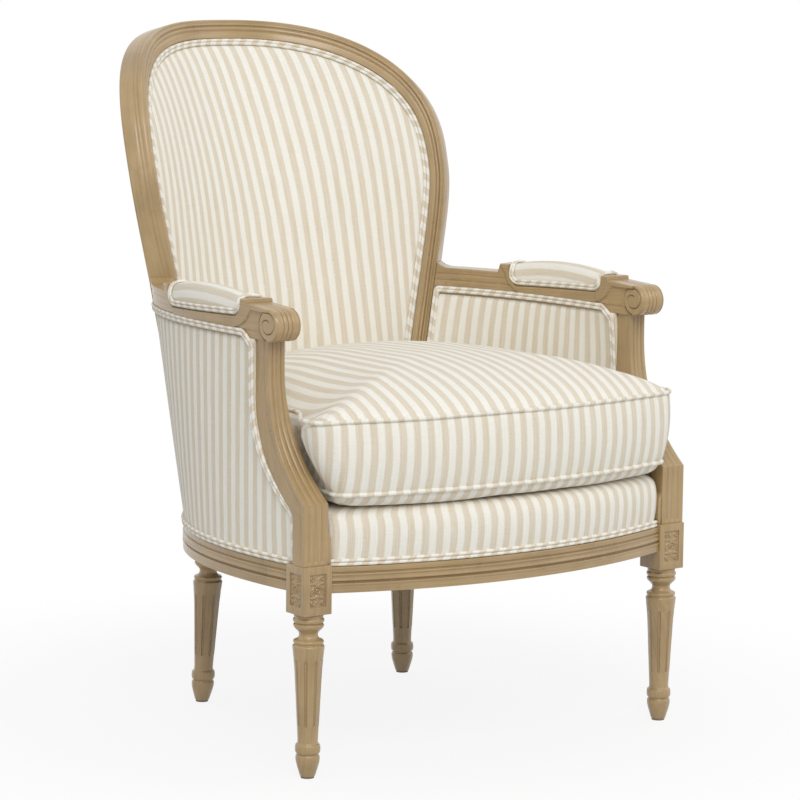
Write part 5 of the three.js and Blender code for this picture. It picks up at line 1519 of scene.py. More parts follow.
def welt_section():
    """Double cord, as (share of the width across, share of the height out)."""
    section = []
    for centre in (-0.25, 0.25):
        for turn in (180, 155, 125, 90, 55, 25, 0):
            if centre > 0 and turn == 180:
                continue
            angle = math.radians(turn)
            section.append((centre + 0.25 * math.cos(angle), 0.28 + 0.72 * math.sin(angle)))
    return section + [(0.42, 0.0), (-0.42, 0.0)]


WELT_SECTION = welt_section()


def welt(name, track, endless=False, width=WELT_WIDTH, height=WELT_HEIGHT):
    """Double cord, slightly puckered, along the surface it lies on. Each place of its track holds
    a point of the surface and the normal there."""
    if endless:
        track = track + track[:1]
    count = int(lengths([place[:3] for place in track])[-1] / WELT_STEP)
    track = resampled(track, count)
    run = lengths([place[:3] for place in track])
    last = len(track) - 1
    rings, cloth = [], []
    for station, place in enumerate(track):
        point, normal = Vector(place[:3]), Vector(place[3:]).normalized()
        before = track[(station - 1) % last if endless else max(0, station - 1)]
        after = track[(station + 1) % last if endless else min(last, station + 1)]
        along = (Vector(after[:3]) - Vector(before[:3])).normalized()
        across = along.cross(normal).normalized()
        seed = Vector((run[station] / WELT_PUCKER_LENGTH, len(name), 0))
        pull = 1 + WELT_PUCKER * noise.noise(seed)
        ring = [point + across * (side * width * pull)
                + normal * (SEAT_GAP + up * height * pull) for side, up in WELT_SECTION]
        rings.append(ring)
        cloth.append([((run[station] + 0.4 * side) * MM, side * MM)
                      for side in lengths(ring + ring[:1])])
    return soft(loft(name, rings[:-1] if endless else rings, cloth, endless))


def back_welt(name, bottom, depth_of, outward):
    points, normals = opening_ring(
        bottom, FABRIC_GAP + WELT_WIDTH / 2, depth_of, side_count=40, bottom_count=0)
    return welt(name, [(*point, *(normal * outward)) for point, normal in zip(points, normals)])


def beside_support(z):
    """Setback of a welt's middle line along the rear of a support."""
    half = WELT_WIDTH / 2
    slope = max(support_rear(z + half) - support_rear(z), support_rear(z) - support_rear(z - half))
    return support_rear(z) + FABRIC_GAP + half * math.hypot(1, slope / half)


def arm_welt(name, inset_at, outward, bottom, foot_shares, beside_stile=False):
    """Welt under the arm rest, round the corner and down beside the support."""
    top, foot = ARM_LINE - WELT_WIDTH / 2, bottom + WELT_WIDTH / 2
    first = beside_support(ARM_BOTTOM) + 2.2 * WELT_WIDTH - SCROLL_SETBACK
    last = ARM_LENGTH - 2 * FABRIC_GAP
    places = []
    if beside_stile:
        last -= WELT_WIDTH / 2 + FABRIC_GAP
        places = [(arm_share(last), z, SCROLL_SETBACK)
                  for z in (mix(foot, top - WELT_WIDTH, share) for share in steps(30))]
    places += [(arm_share(mix(last, first, share)), top, SCROLL_SETBACK) for share in steps(60)]
    levels = [mix(top - 16, foot, share) for share in steps(50)]
    places += [(0, z, beside_support(z)) for z in levels]
    places += [(share, foot, support_rear(foot) + FABRIC_GAP) for share in foot_shares]

    def at(place, along=0.0, up=0.0):
        share, z, start = place
        return band(share + along, z + up, inset_at(share, z), start)

    track = []
    for place in places:
        lengthwise = at(place, along=1e-3) - at(place, along=-1e-3)
        rising = at(place, up=1e-2) - at(place, up=-1e-2)
        track.append((*at(place), *(lengthwise.cross(rising).normalized() * outward)))
    return welt(name, softened(track, 3))


def outside_arm_welt():
    piece = arm_welt("outside_arm_welt_linen_right", lambda share, z: COVER_INSET, 1,
                     RAIL_TOP + FABRIC_GAP, [mix(0.035, 0.996, share) for share in steps(70)])
    # Its front end rises over the top of the die block
    start = DIE_HALF + 8
    for vertex in piece.data.vertices:
        y, z = (vertex.co.y - SHIFT_BACK) / MM, vertex.co.z / MM
        if y < start:
            floor = mix(RAIL_TOP, DIE_TOP + SEAT_GAP, clamp((start - y) / 6))
            vertex.co.z = max(z, floor) * MM
    return piece


def inside_arm_welt():
    return arm_welt("inside_arm_welt_linen_right",
                    lambda share, z: inside_inset(share, z) + SEAT_GAP, -1, DECK_TOP + SEAT_GAP, [],
                    beside_stile=True)


# Seat


def inside_back_front(x, z):
    """Setback of the front of the inside back."""
    up = abs(z - BACK_PAD_MIDDLE) / (BACK_PAD_MIDDLE - BACK_PAD_BOTTOM)
    share = min(1.0, max(up, abs(x) / opening_half(z)))
    return back_face(x, z).y - back_swell(share)


def horseshoe(z, half, corner, front, side, back, counts):
    """Ring at a height from a front line, a side inset and a back line."""
    front_count, corner_count, side_count, back_count = counts
    right = []
    for share in steps(front_count)[:-1]:
        x = share * (half - corner)
        right.append(Vector((x, front(x), z)))
    for share in steps(corner_count)[:-1]:
        turn = share * math.pi / 2
        x = half - corner + corner * math.sin(turn)
        right.append(Vector((x, front(x) + corner * (1 - math.cos(turn)), z)))
    start = angle_at(front(half) + corner, z, side)

    def ahead_of_back(turn):
        point = shell_point(turn, z, side)
        return point.y < back(point.x)

    end = bisected(start, math.pi / 2, ahead_of_back)
    first = shell_point(start, z, side)
    for share in steps(side_count)[:-1]:
        point = shell_point(mix(start, end, share), z, side)
        point.x += (half - first.x) * (1 - share) ** 4
        right.append(point)
    meet = shell_point(end, z, side)
    for share in steps(back_count):
        x = meet.x * (1 - share)
        right.append(Vector((x, back(x), z)))
    return right + mirrored(reversed(right[1:-1]))


def deck_outline(z, inward, corner=9):
    """Ring round the seat deck, between the supports, the inside arms and the back frame."""
    return horseshoe(
        z, half=SUPPORT_INSIDE - EAR_WIDTH - FABRIC_GAP - max(0, inward), corner=corner,
        front=lambda x: front_line(x) + DECK_SETBACK + inward, side=ARM_WIDTH + 3 + inward,
        back=lambda x: back_face(x, z).y - FABRIC_GAP - inward, counts=DECK_COUNTS)


def around_cloth(rings):
    """Cloth places of a border: length round the ring from its front middle, and the height."""
    cloth = []
    for ring in rings:
        run = lengths(list(ring) + [ring[0]])
        cloth.append([((length if length < run[-1] / 2 else length - run[-1]) * MM, ring[0][2] * MM)
                      for length in run])
    return cloth


def top_cloth(ring):
    return [(p[0] * MM, p[1] * MM) for p in list(ring) + [ring[0]]]


def seat_deck():
    """Front border and platform: a stuffed edge that rolls over to the platform's top."""
    rings = [deck_outline(mix(DECK_BOTTOM, DECK_TOP, up), inward)
             for up, inward in softened(DECK_EDGE)]
    middle = Vector((0, DECK_MIDDLE, DECK_TOP))
    rolled = len(rings)
    for share in (0.94, 0.94, 0.75, 0.5, 0.25, 0.001):
        rings.append([p.lerp(middle, 1 - share) for p in rings[rolled - 1]])
    # The border's cloth is sewn to the platform's cloth along the doubled ring
    around = around_cloth(rings[:1])[0]
    cloth, run = [], 0.0
    for below, ring in zip([rings[0]] + rings, rings[:rolled + 1]):
        run += (ring[0] - below[0]).length
        cloth.append([(place[0], run * MM) for place in around])
    cloth += [top_cloth(ring) for ring in rings[rolled + 1:]]
    return soft(loft("seat_platform_linen", rings, cloth))


def front_border_welt():
    z = RAIL_TOP + SEAT_GAP + WELT_WIDTH / 2
    outline = deck_outline(z, -0.4, corner=1)
    half = DECK_COUNTS[0]
    points = outline[-half:] + outline[:half + 1]
    neighbours = zip(points[:1] + points, points, points[1:] + points[-1:])
    return welt("front_border_welt_linen",
                [(*point, *sideways(before, after)) for before, point, after in neighbours])


def cushion_outline(z, inward, counts=(40, 12, 60, 30), flare=1.0):
    """Ring round the cushion, sewn to sag at the front's ends and clear of the inside back."""
    levels = (CUSHION_BOTTOM_SEAM, CUSHION_TOP_SEAM, CUSHION_TOP_SEAM + CUSHION_CROWN)
    widest = shell_point(0, CUSHION_TOP_SEAM, CUSHION_INSET).x
    ring = horseshoe(
        CUSHION_BOTTOM_SEAM, half=widest - inward, corner=CUSHION_CORNER,
        front=lambda x: (front_line(0) - CUSHION_AHEAD + inward
                         + CUSHION_SAG * (x / widest) ** 2),
        side=CUSHION_INSET + inward,
        back=lambda x: (min(inside_back_front(x, level) for level in levels)
                        - CUSHION_CLEAR - inward),
        counts=counts)
    up = clamp((z - CUSHION_BOTTOM_SEAM) / (CUSHION_TOP_SEAM - CUSHION_BOTTOM_SEAM))
    for point in ring:
        # Ahead of the supports the corners push out; the supports lean back as they rise
        room = 1 - eased_over(point.y, mix(*CORNER_START, up), mix(*CORNER_LENGTH, up))
        reach, pull = CUSHION_LEFT if point.x < 0 else CUSHION_RIGHT
        point.x *= 1 + flare * room * mix(CUSHION_BOTTOM_REACH, reach, up)
        # The top seam is pulled down along the front of the sides
        sides = eased_over(point.y, *PULL_RISE) * (1 - eased_over(point.y, *PULL_FADE))
        point.z = z - pull * up * sides
    return ring


def boxing_swell(point, up):
    """How far the cushion's border swells at a share of its height: most where it is free."""
    free = 1 - eased_over(point.y, mix(*SWELL_START, up), SWELL_LENGTH)
    return mix(SWELL_LEAST, CUSHION_SWELL, free) * math.sin(up * math.pi) ** 0.6


def seat_cushion():
    """Boxed cushion: crowned top, softly swelling border, both drawn in at the corded seams."""
    seam_inset = 2 * CORD_RADIUS + FABRIC_GAP
    rings, kinds, aways = [], [], []

    def flat_ring(z, share):
        middle = Vector((0, CUSHION_MIDDLE, z))
        level = clamp(z, CUSHION_BOTTOM_SEAM, CUSHION_TOP_SEAM)
        outline = cushion_outline(level, seam_inset, flare=share ** 7)
        aways.append((1 - share) * CUSHION_HALF_WIDTH)
        return [Vector((mix(middle.x, p.x, share), mix(middle.y, p.y, share),
                        z + (p.z - level) * share ** 4)) for p in outline]

    for share in (0.001, 0.3, 0.6, 0.8, 0.86, 0.9, 0.92, 0.94, 0.955, 0.97, 0.98, 0.988, 0.995, 1):
        bulge = math.sqrt(1 - clamp((share - 0.89) / 0.11) ** 2)
        rings.append(flat_ring(CUSHION_BOTTOM_SEAM - CUSHION_BELLY * bulge, share))
        kinds.append("bottom")
    for up in steps(22):
        z = mix(CUSHION_BOTTOM_SEAM, CUSHION_TOP_SEAM, up)
        outline = cushion_outline(z, seam_inset)
        ring = []
        for slot, point in enumerate(outline):
            out = sideways(outline[slot - 1], outline[(slot + 1) % len(outline)])
            ring.append(point + out * boxing_swell(point, up))
        rings.append(ring)
        kinds.append("border")
        aways.append(min(up, 1 - up) * (CUSHION_TOP_SEAM - CUSHION_BOTTOM_SEAM))
    for share in (1, 0.995, 0.985, 0.965, 0.94, 0.9, 0.85, 0.79, 0.72, 0.64, 0.56, 0.47, 0.38,
                  0.29, 0.2, 0.11, 0.04, 0.001):
        bulge = (1 - share ** 2.4) ** 0.72
        ring = flat_ring(CUSHION_TOP_SEAM, share)
        for point in ring:
            point.z += CUSHION_CROWN * bulge
        rings.append(ring)
        kinds.append("top")
    puckered(rings, kinds, aways)
    around = around_cloth(rings)
    cloth = [border if kind == "border" else top_cloth(ring)
             for border, ring, kind in zip(around, rings, kinds)]
    return soft(loft("seat_cushion_boxed_linen", rings, cloth))


def puckered(rings, kinds, aways):
    """Small gathers beside the corded seams, and the shallow dents of a used cushion."""
    border = [ring for ring, kind in zip(rings, kinds) if kind == "border"]
    run = lengths(border[len(border) // 2])
    for ring, kind, near in zip(rings, kinds, aways):
        for slot, point in enumerate(ring):
            corner = math.exp(-((abs(point.x) - CORNER_PLACE[0]) / CORNER_SPREAD[0]) ** 2
                              - ((point.y - CORNER_PLACE[1]) / CORNER_SPREAD[1]) ** 2)
            seed = Vector((run[slot] / CUSHION_GATHER_LENGTH, 3.3, 0 if kind == "top" else 7.7))
            fade = math.exp(-(near / CUSHION_GATHER_REACH) ** 2)
            gather = noise.noise(seed) * (CUSHION_GATHER + CORNER_GATHER * corner) * fade
            dent = CUSHION_DENT * noise.noise(Vector((
                point.x / CUSHION_DENT_LENGTH, point.y / CUSHION_DENT_LENGTH, point.z / 60)))
            if kind == "border":
                outward = Vector((point.x, point.y - CUSHION_MIDDLE, 0)).normalized()
                point += outward * (gather + 0.4 * dent) * clamp(near / 5)
            else:
                point.z += gather * clamp(near / 3) + dent * clamp(near / 20)


def cushion_cord(name, z):
    path = cushion_outline(z, CORD_RADIUS + 1.5, (90, 24, 110, 60))
    rings, cloth = [], []
    run = lengths(path + [path[0]])
    for station, point in enumerate(path):
        out = sideways(path[station - 1], path[(station + 1) % len(path)])
        sway = noise.noise(Vector((run[station] / CORD_SWAY_LENGTH, z, 0)))
        centre = Vector((point.x, point.y, z + CORD_SWAY * sway)) + out * 0.5 * sway
        seed = Vector((run[station] / CUSHION_GATHER_LENGTH, z, 5))
        radius = CORD_RADIUS * (1 + 0.04 * noise.noise(seed))
        turns = [turn * 2 * math.pi for turn in steps(12)[:-1]]
        rings.append([centre + out * (radius * math.cos(turn)) + UP * (radius * math.sin(turn))
                      for turn in turns])
        cloth.append([(run[station] * MM, turn * radius * MM) for turn in turns + [2 * math.pi]])
    cloth.append([(run[-1] * MM, place[1]) for place in cloth[0]])
    return soft(loft(name, rings, cloth, endless=True))


# Arm pads


def pad_point(distance, underside, turn):
    """Point of an arm pad: turn goes from its outer side over the top to the inner side."""
    along = math.sin(clamp((distance - RECESS_START) / RECESS_LENGTH) * math.pi)
    top = ARM_BLOCK_TOP - PAD_END_DROP + (PAD_END_DROP + PAD_CROWN) * along ** PAD_POWER
    across = math.copysign(abs(math.cos(turn)) ** PAD_POWER, math.cos(turn))
    up = max(0.0, math.sin(turn)) ** PAD_POWER
    inset = (ARM_WIDTH - across * PAD_WIDTH) / 2
    return arm_plan(arm_share(distance), inset, mix(underside, top, up))


def gathers(distance, turn):
    """Small tucks in the pad's cover just above its welt."""
    height = math.sin(turn)
    tuck = PAD_TUCK * noise.noise(Vector((distance / 6, 2.2 if turn < 1.5 else 8.8, 0)))
    return Vector((0, 0, tuck * math.exp(-((height - 0.5) / 0.25) ** 2)))


def arm_pad():
    rings, cloth = [], []
    for distance in dense_ends(RECESS_START + PAD_CLEAR, RECESS_END - PAD_CLEAR, 54):
        underside = recess_top(distance) + FABRIC_GAP
        turns = [mix(0, math.pi, part) for part in steps(PAD_TURNS)]
        ring = [pad_point(distance, underside, turn) + gathers(distance, turn) for turn in turns]
        run = lengths(ring + [ring[0]])
        middle = run[PAD_TURNS // 2]
        rings.append(ring)
        cloth.append([((length - middle) * MM + PAD_STRIPE_SHIFT, distance * MM)
                      for length in run])
    return soft(loft("arm_pad_linen_right", rings, cloth))


def arm_pad_welt():
    """Welt along both sides of the recess and over the pad at both ends."""
    margin = 2 * FABRIC_GAP + WELT_WIDTH / 2
    run = []
    for distance in dense_ends(RECESS_START + margin, RECESS_END - margin, 60):
        underside = recess_top(distance) + FABRIC_GAP
        top = pad_point(distance, underside, math.pi / 2).z
        z = min(recess_top(distance) + margin, top - 1)
        turn = math.asin(clamp((z - underside) / (top - underside)) ** (1 / PAD_POWER))
        if turn < 0.95:
            run.append((distance, turn))
    first, last = run[0], run[-1]
    over_rear = [(last[0], mix(last[1], math.pi - last[1], share)) for share in steps(16)[1:-1]]
    over_front = [(first[0], mix(math.pi - first[1], first[1], share)) for share in steps(16)[1:-1]]
    places = run + over_rear + [(d, math.pi - turn) for d, turn in reversed(run)] + over_front

    def at(distance, turn):
        return pad_point(distance, recess_top(distance) + FABRIC_GAP, turn)

    track = []
    for distance, turn in places:
        along = at(distance + 0.05, turn) - at(distance - 0.05, turn)
        round_pad = at(distance, turn + 1e-3) - at(distance, turn - 1e-3)
        normal = along.cross(round_pad).normalized()
        track.append((*(at(distance, turn) + normal * FABRIC_GAP), *normal))
    return welt("arm_pad_welt_linen_right", softened(track, 2, closed=True), endless=True,
                width=PAD_WELT_WIDTH, height=PAD_WELT_HEIGHT)


# Under the seat


def strap(name, start, end, z):
    """Flat webbing strap with a slight sag between its tacked ends."""
    across = (end - start).normalized().cross(UP)
    rows = []
    for share in steps(24):
        at = start.lerp(end, share)
        drop = STRAP_SAG * math.sin(math.pi * clamp((share - 0.06) / 0.88))
        rows.append([at + across * (side - 0.5) * STRAP_WIDTH + UP * (z - drop)
                     for side in steps(6)])
    return sheet(grid(name, rows), UP, STRAP_THICKNESS)


def dust_cover():
    """Cambric tacked under the rails, with a slight sag."""
    z = RAIL_BOTTOM - SEAT_GAP
    outline = horseshoe(
        z, half=DIE_INSIDE, corner=4, front=lambda x: front_line(x) + DUST_COVER_LAP,
        side=DUST_COVER_LAP, back=lambda x: DUST_COVER_BACK, counts=(40, 3, 60, 8))
    outline = [cleared(point) for point in outline]
    middle = Vector((0, DUST_COVER_MIDDLE, z))
    rows, cloth = [], []
    for share in (1, 0.97, 0.9, 0.75, 0.55, 0.35, 0.15, 0.001):
        drop = DUST_COVER_SAG * (1 - share ** 2)
        row = [p.lerp(middle, 1 - share) - UP * drop for p in outline]
        rows.append(row + row[:1])
        cloth.append(top_cloth(row))
    return sheet(closed_up(grid("dust_cover_cambric", rows, cloth), caps=False), -UP, 0.8)


def cleared(point):
    """Moves a point of the dust cover's edge clear of the die blocks and the back legs."""
    if abs(point.x) > DIE_INSIDE - 1 and point.y < DIE_HALF + 1:
        point.x = math.copysign(DIE_INSIDE - 1, point.x)
    leg = Vector((math.copysign(BACK_LEG_X, point.x), rail_setback(BACK_LEG_X, BACK_LEG_INSET), 0))
    away = Vector((point.x, point.y, 0)) - leg
    if away.length < COLLAR_RADIUS + 1:
        inwards = Vector((-leg.x, DUST_COVER_MIDDLE - leg.y, 0)).normalized()
        moved = leg + inwards * (COLLAR_RADIUS + 1)
        return Vector((moved.x, moved.y, point.z))
    return point


# Settings a user may change


def hex_setting(name, what, default):
    return bpy.props.StringProperty(name=name, description=f"Hex colour of {what}",
                                    default=default)


def power_setting(name, what, default):
    return bpy.props.FloatProperty(name=name, description=f"Power of {what}", default=default,
                                   min=0.0, unit="POWER")


class ChairFinish(bpy.types.PropertyGroup):
    """Colours and gloss of the chair."""
    wood_light: hex_setting("Wood light", "the paint where it is palest", "B4996F")
    wood_shade: hex_setting("Wood shade", "the paint where it is deepest", "9E845B")
    # Colour of the glaze and of the painted shade in grooves
    wood_groove_glaze_and_shade: hex_setting("Wood groove", "the glaze in grooves", "866A48")
    wood_roughness: bpy.props.FloatProperty(
        name="Wood roughness", description="Roughness of the satin paint", default=0.3,
        min=0.05, max=1.0, subtype="FACTOR")
    linen_ground: hex_setting("Linen ground", "the linen between stripes", "F4F1E8")
    linen_stripe: hex_setting("Linen stripe", "the stripes", "E0D5C1")


class ChairSizes(bpy.types.PropertyGroup):
    """Sizes of the cloth's pattern."""
    stripe_repeat: bpy.props.FloatProperty(
        name="Stripe repeat", description="Width of one beige and one white stripe together",
        default=0.0216, min=0.004, max=0.1, unit="LENGTH", precision=4)
    thread_spacing: bpy.props.FloatProperty(
        name="Thread spacing", description="Spacing of the drawn weave threads", default=0.0014,
        min=0.0003, max=0.01, unit="LENGTH", precision=4)


class ChairStage(bpy.types.PropertyGroup):
    """Floor and light."""
    floor_colour: hex_setting("Floor", "the floor", "D6D5D3")
    key_power: power_setting("Key light", "the main lamp", 196.0)
    fill_power: power_setting("Fill light", "the softer lamp", 15.0)
    sky_strength: bpy.props.FloatProperty(
        name="Sky", description="Strength of the even light", default=0.64, min=0.0)


def wood():
    name = "painted_beech_satin"
    return bpy.data.materials.get(name) or painted_beech(bpy.context.scene.chair_finish)


def linen():
    name = "linen_woven_striped"
    scene = bpy.context.scene
    return bpy.data.materials.get(name) or striped_linen(scene.chair_finish, scene.chair_sizes)


class CHAIR_OT_legs(bpy.types.Operator):
    """Turned and fluted legs with carved die blocks"""
    bl_idname = "chair.legs"
    bl_label = "Legs"

    def execute(self, context):
        fitted_pair(front_leg(), wood(), "frame_paint", "front_leg")
        fitted_pair(back_leg(), wood(), "frame_paint", "back_leg")
        return {"FINISHED"}


class CHAIR_OT_rails(bpy.types.Operator):
    """Moulded seat rails"""
    bl_idname = "chair.rails"
    bl_label = "Seat rails"

    def execute(self, context):
        fitted(front_rail(), wood(), "frame_paint", "front_seat_rail")
        fitted_pair(side_rail(), wood(), "frame_paint", "side_seat_rail")
        fitted(back_rail(), wood(), "frame_paint", "back_seat_rail")
        return {"FINISHED"}


class CHAIR_OT_arms(bpy.types.Operator):
    """Swept arm supports and scrolled arm rests"""
    bl_idname = "chair.arms"
    bl_label = "Arms"

    def execute(self, context):
        fitted_pair(arm_support(), wood(), "frame_paint", "arm_support")
        fitted_pair(arm_rest(), wood(), "frame_paint", "arm_rest")
        return {"FINISHED"}


class CHAIR_OT_back_frame(bpy.types.Operator):
    """Moulded crest rail and stiles"""
    bl_idname = "chair.back_frame"
    bl_label = "Back frame"

    def execute(self, context):
        fitted(crest_rail(), wood(), "frame_paint", "back_crest_rail")
        fitted_pair(stile(), wood(), "frame_paint", "back_stile")
        return {"FINISHED"}


class CHAIR_OT_back_upholstery(bpy.types.Operator):
    """Inside back, outside back and their welts"""
    bl_idname = "chair.back_upholstery"
    bl_label = "Back upholstery"

    def execute(self, context):
        fitted(inside_back(), linen(), "fabric", "inside_back_pad", fill=0.85)
        fitted(outside_back(), linen(), "fabric", "outside_back_cover")
        inside = back_welt("inside_back_welt_linen", BACK_PAD_BOTTOM + 4,
                           lambda z: WELT_HEIGHT / 2, -1)
        outside = back_welt("outside_back_welt_linen", RAIL_TOP + 4,
                            lambda z: depth_at(z) - WELT_HEIGHT / 2, 1)
        fitted(inside, linen(), "welts", "inside_back_welt")
        fitted(outside, linen(), "welts", "outside_back_welt")
        return {"FINISHED"}


class CHAIR_OT_arm_upholstery(bpy.types.Operator):
    """Inside arms, outside arms, arm pads and their welts"""
    bl_idname = "chair.arm_upholstery"
    bl_label = "Arm upholstery"

    def execute(self, context):
        fitted_pair(outside_arm(), linen(), "fabric", "outside_arm_cover")
        fitted_pair(inside_arm(), linen(), "fabric", "inside_arm_pad", fill=0.8)
        fitted_pair(outside_arm_welt(), linen(), "welts", "outside_arm_welt")
        fitted_pair(inside_arm_welt(), linen(), "welts", "inside_arm_welt")
        fitted_pair(arm_pad(), linen(), "fabric", "arm_pad", fill=0.85)
        fitted_pair(arm_pad_welt(), linen(), "welts", "arm_pad_welt")
        return {"FINISHED"}


class CHAIR_OT_seat(bpy.types.Operator):
    """Seat platform with its border and welt"""
    bl_idname = "chair.seat"
    bl_label = "Seat platform"

    def execute(self, context):
        fitted(seat_deck(), linen(), "fabric", "seat_deck", fill=0.9)
        fitted(front_border_welt(), linen(), "welts", "front_border_welt")
        return {"FINISHED"}


class CHAIR_OT_cushion(bpy.types.Operator):
    """Loose boxed seat cushion with corded seams"""
    bl_idname = "chair.cushion"
    bl_label = "Seat cushion"

    def execute(self, context):
        fitted(seat_cushion(), linen(), "fabric", "seat_cushion", body="seat_cushion", fill=0.75)
        for place, z in (("bottom", CUSHION_BOTTOM_SEAM), ("top", CUSHION_TOP_SEAM)):
            fitted(cushion_cord(f"cushion_{place}_cord_linen", z), linen(), "welts",
                   f"cushion_{place}_welt", body="seat_cushion")
        return {"FINISHED"}


class CHAIR_OT_underside(bpy.types.Operator):
    """Webbing, dust cover, bare wood and glides"""
    bl_idname = "chair.underside"
    bl_label = "Underside"

    def execute(self, context):
        jute = woven("jute_webbing_woven", "8F7647", "B59B6C", 0.0032)
        low = RAIL_TOP + SEAT_GAP + STRAP_LIFT
        for place in range(STRAP_COUNT):
            x = (place - (STRAP_COUNT - 1) / 2) * STRAP_SPACING
            start = Vector((x, front_line(x) + RAIL_THICKNESS - STRAP_LAP, 0))
            end = Vector((x, rail_setback(abs(x), RAIL_THICKNESS) + STRAP_LAP, 0))
            fitted(strap(f"jute_strap_{place + 1}", start, end, low), jute, "webbing",
                   f"webbing_strap_{place + 1}")
        for place in range(CROSS_STRAP_COUNT):
            y = CROSS_STRAP_START + place * CROSS_STRAP_SPACING
            turn = angle_at(y, RAIL_TOP, RAIL_THICKNESS)
            half = shell_point(turn, RAIL_TOP, RAIL_THICKNESS).x + STRAP_LAP
            ends = Vector((-half, y, 0)), Vector((half, y, 0))
            piece = strap(f"jute_cross_strap_{place + 1}", *ends, low + CROSS_STRAP_LIFT)
            fitted(piece, jute, "webbing", f"webbing_cross_strap_{place + 1}")
        cambric = woven("cambric_black_woven", "242322", "33312F", 0.0016)
        fitted(dust_cover(), cambric, "dust_cloth", "dust_cover")
        finish_nodes(bare_beech(), "corner_block", "arm_tack_rail", "back_bottom_rail")
        finish_nodes(moulded_nylon(), "glide")
        return {"FINISHED"}


def finish_nodes(material, *words):
    """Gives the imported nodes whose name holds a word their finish."""
    for name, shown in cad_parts.items():
        if any(word in name for word in words):
            shown.data.materials.clear()
            shown.data.materials.append(material)


def lamp(name, size, power, where, aim):
    deselect()
    bpy.ops.object.light_add(type="AREA", location=where)
    light = bpy.context.object
    light.name = light.data.name = name
    light.data.shape = "RECTANGLE"
    light.data.size, light.data.size_y = size
    light.data.energy = power
    light.data.color = LAMP_COLOUR
    light.rotation_mode = "QUATERNION"
    light.rotation_quaternion = (Vector(aim) - Vector(where)).to_track_quat("-Z", "Y")


class CHAIR_OT_stage(bpy.types.Operator):
    """Floor, even light, two lamps and the camera"""
    bl_idname = "chair.stage"
    bl_label = "Stage"

    def execute(self, context):
        stage = context.scene.chair_stage
        deselect()
        bpy.ops.mesh.primitive_plane_add(size=FLOOR_SIZE, location=(0, 0, 0))
        floor = bpy.context.object
        floor.name = "floor"
        floor.data.materials.append(stage_floor(stage))
        for name, size, where, aim in LAMPS:
            lamp(name, size, getattr(stage, f"{name}_power"), where, aim)
        sky(context.scene, stage)
        add_camera(context.scene)
        return {"FINISHED"}


def stage_floor(stage):
    """Seamless studio paper, matt and pale. It shows almost white, and fully white from 1 m out,
    but keeps some of the chair's shadow."""
    material, tree, shader, output = new_material("studio_paper_matt")
    shader.inputs["Base Color"].default_value = linear(stage.floor_colour)
    shader.inputs["Roughness"].default_value = 0.9
    shader.inputs["Specular IOR Level"].default_value = 0.0
    place = node(tree, "ShaderNodeTexCoord")
    reach = node(tree, "ShaderNodeVectorMath", [(place.outputs["Object"], 0)], operation="LENGTH")
    share = node(tree, "ShaderNodeMapRange", [(reach.outputs["Value"], "Value")],
                 interpolation_type="SMOOTHSTEP", in_1=0.4, in_2=1.0, in_3=0.88, in_4=1.0)
    amount = node(tree, "ShaderNodeMath", [(seen_rays(tree), 0), (share.outputs[0], 1)],
                  operation="MULTIPLY")
    paper = node(tree, "ShaderNodeEmission", in_Strength=1.0)
    both = node(tree, "ShaderNodeMixShader", [(amount.outputs[0], 0), (shader.outputs[0], 1),
                                              (paper.outputs[0], 2)])
    tree.links.new(both.outputs[0], output.inputs["Surface"])
    return material


def seen_rays(tree):
    """1 for the rays that show the background: straight, mirrored or refracted."""
    path = node(tree, "ShaderNodeLightPath")
    seen = path.outputs["Is Camera Ray"]
    for kind in ("Is Glossy Ray", "Is Transmission Ray"):
        seen = node(tree, "ShaderNodeMath", [(seen, 0), (path.outputs[kind], 1)],
                    operation="MAXIMUM").outputs[0]
    return seen


def sky(scene, stage):
    """Even light from all sides, and a white background where it is seen."""
    world = bpy.data.worlds.new("even_light")
    scene.world = world
    world.use_nodes = True
    tree = world.node_tree
    tree.nodes.clear()
    light = node(tree, "ShaderNodeBackground", in_Strength=stage.sky_strength)
    light.inputs[0].default_value = SKY_COLOUR
    shown = node(tree, "ShaderNodeBackground", in_Strength=1.0)
    shown.inputs[0].default_value = (1, 1, 1, 1)
    both = node(tree, "ShaderNodeMixShader", [(seen_rays(tree), 0), (light.outputs[0], 1),
                                              (shown.outputs[0], 2)])
    node(tree, "ShaderNodeOutputWorld", [(both.outputs[0], "Surface")])
    scene.view_settings.view_transform = "Standard"


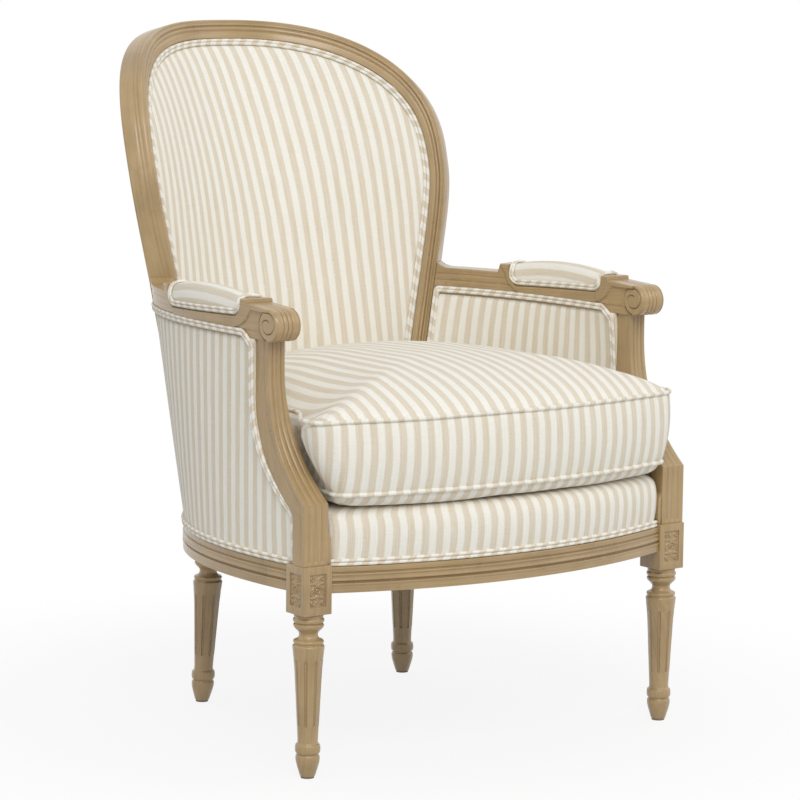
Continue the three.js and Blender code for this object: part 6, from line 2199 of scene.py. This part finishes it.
def add_camera(scene):
    """Camera fitted to the photograph's viewing angle."""
    azimuth, elevation, roll = (math.radians(value) for value in CAMERA_DEGREES)
    x, y, z = CAMERA_PLACE
    deselect()
    bpy.ops.object.camera_add(location=(x, y + SHIFT_BACK, z))
    camera = bpy.context.object
    camera.data.sensor_width = SENSOR_WIDTH
    camera.data.lens = CAMERA_FOCUS * SENSOR_WIDTH
    back = Vector((math.sin(azimuth) * math.cos(elevation),
                   -math.cos(azimuth) * math.cos(elevation), math.sin(elevation)))
    camera.rotation_mode = "QUATERNION"
    right = Vector((math.cos(azimuth), math.sin(azimuth), 0))
    up = right.cross(-back)
    rolled_right = right * math.cos(roll) + up * math.sin(roll)
    rolled_up = up * math.cos(roll) - right * math.sin(roll)
    turn = Matrix((rolled_right, rolled_up, back)).transposed()
    camera.rotation_quaternion = turn.to_quaternion()
    camera.data.clip_start, camera.data.clip_end = 0.1, 100
    scene.camera = camera


class CHAIR_PT_panel(bpy.types.Panel):
    """Lists the steps that dress the chair"""
    bl_label = "Bergere Chair"
    bl_space_type = "VIEW_3D"
    bl_region_type = "UI"
    bl_category = "Chair"

    def draw(self, context):
        for group in ("chair_finish", "chair_sizes", "chair_stage"):
            settings = getattr(context.scene, group)
            for key in settings.bl_rna.properties.keys():
                if key not in ("rna_type", "name"):
                    self.layout.prop(settings, key)
        for step in STEPS:
            self.layout.operator(step.bl_idname)


STEPS = (
    CHAIR_OT_legs, CHAIR_OT_rails, CHAIR_OT_arms, CHAIR_OT_back_frame, CHAIR_OT_back_upholstery,
    CHAIR_OT_arm_upholstery, CHAIR_OT_seat, CHAIR_OT_cushion, CHAIR_OT_underside, CHAIR_OT_stage,
)
GROUPS = (("chair_finish", ChairFinish), ("chair_sizes", ChairSizes), ("chair_stage", ChairStage))


def register():
    for key, group in GROUPS:
        bpy.utils.register_class(group)
        setattr(bpy.types.Scene, key, bpy.props.PointerProperty(type=group))
    for step in STEPS + (CHAIR_PT_panel,):
        bpy.utils.register_class(step)


def unregister():
    for step in reversed(STEPS + (CHAIR_PT_panel,)):
        bpy.utils.unregister_class(step)
    for key, group in reversed(GROUPS):
        delattr(bpy.types.Scene, key)
        bpy.utils.unregister_class(group)


def main():
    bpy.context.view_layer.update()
    register()
    for step in STEPS:
        area, name = step.bl_idname.split(".")
        getattr(getattr(bpy.ops, area), name)()
    deselect()


if __name__ == "__main__":
    main()
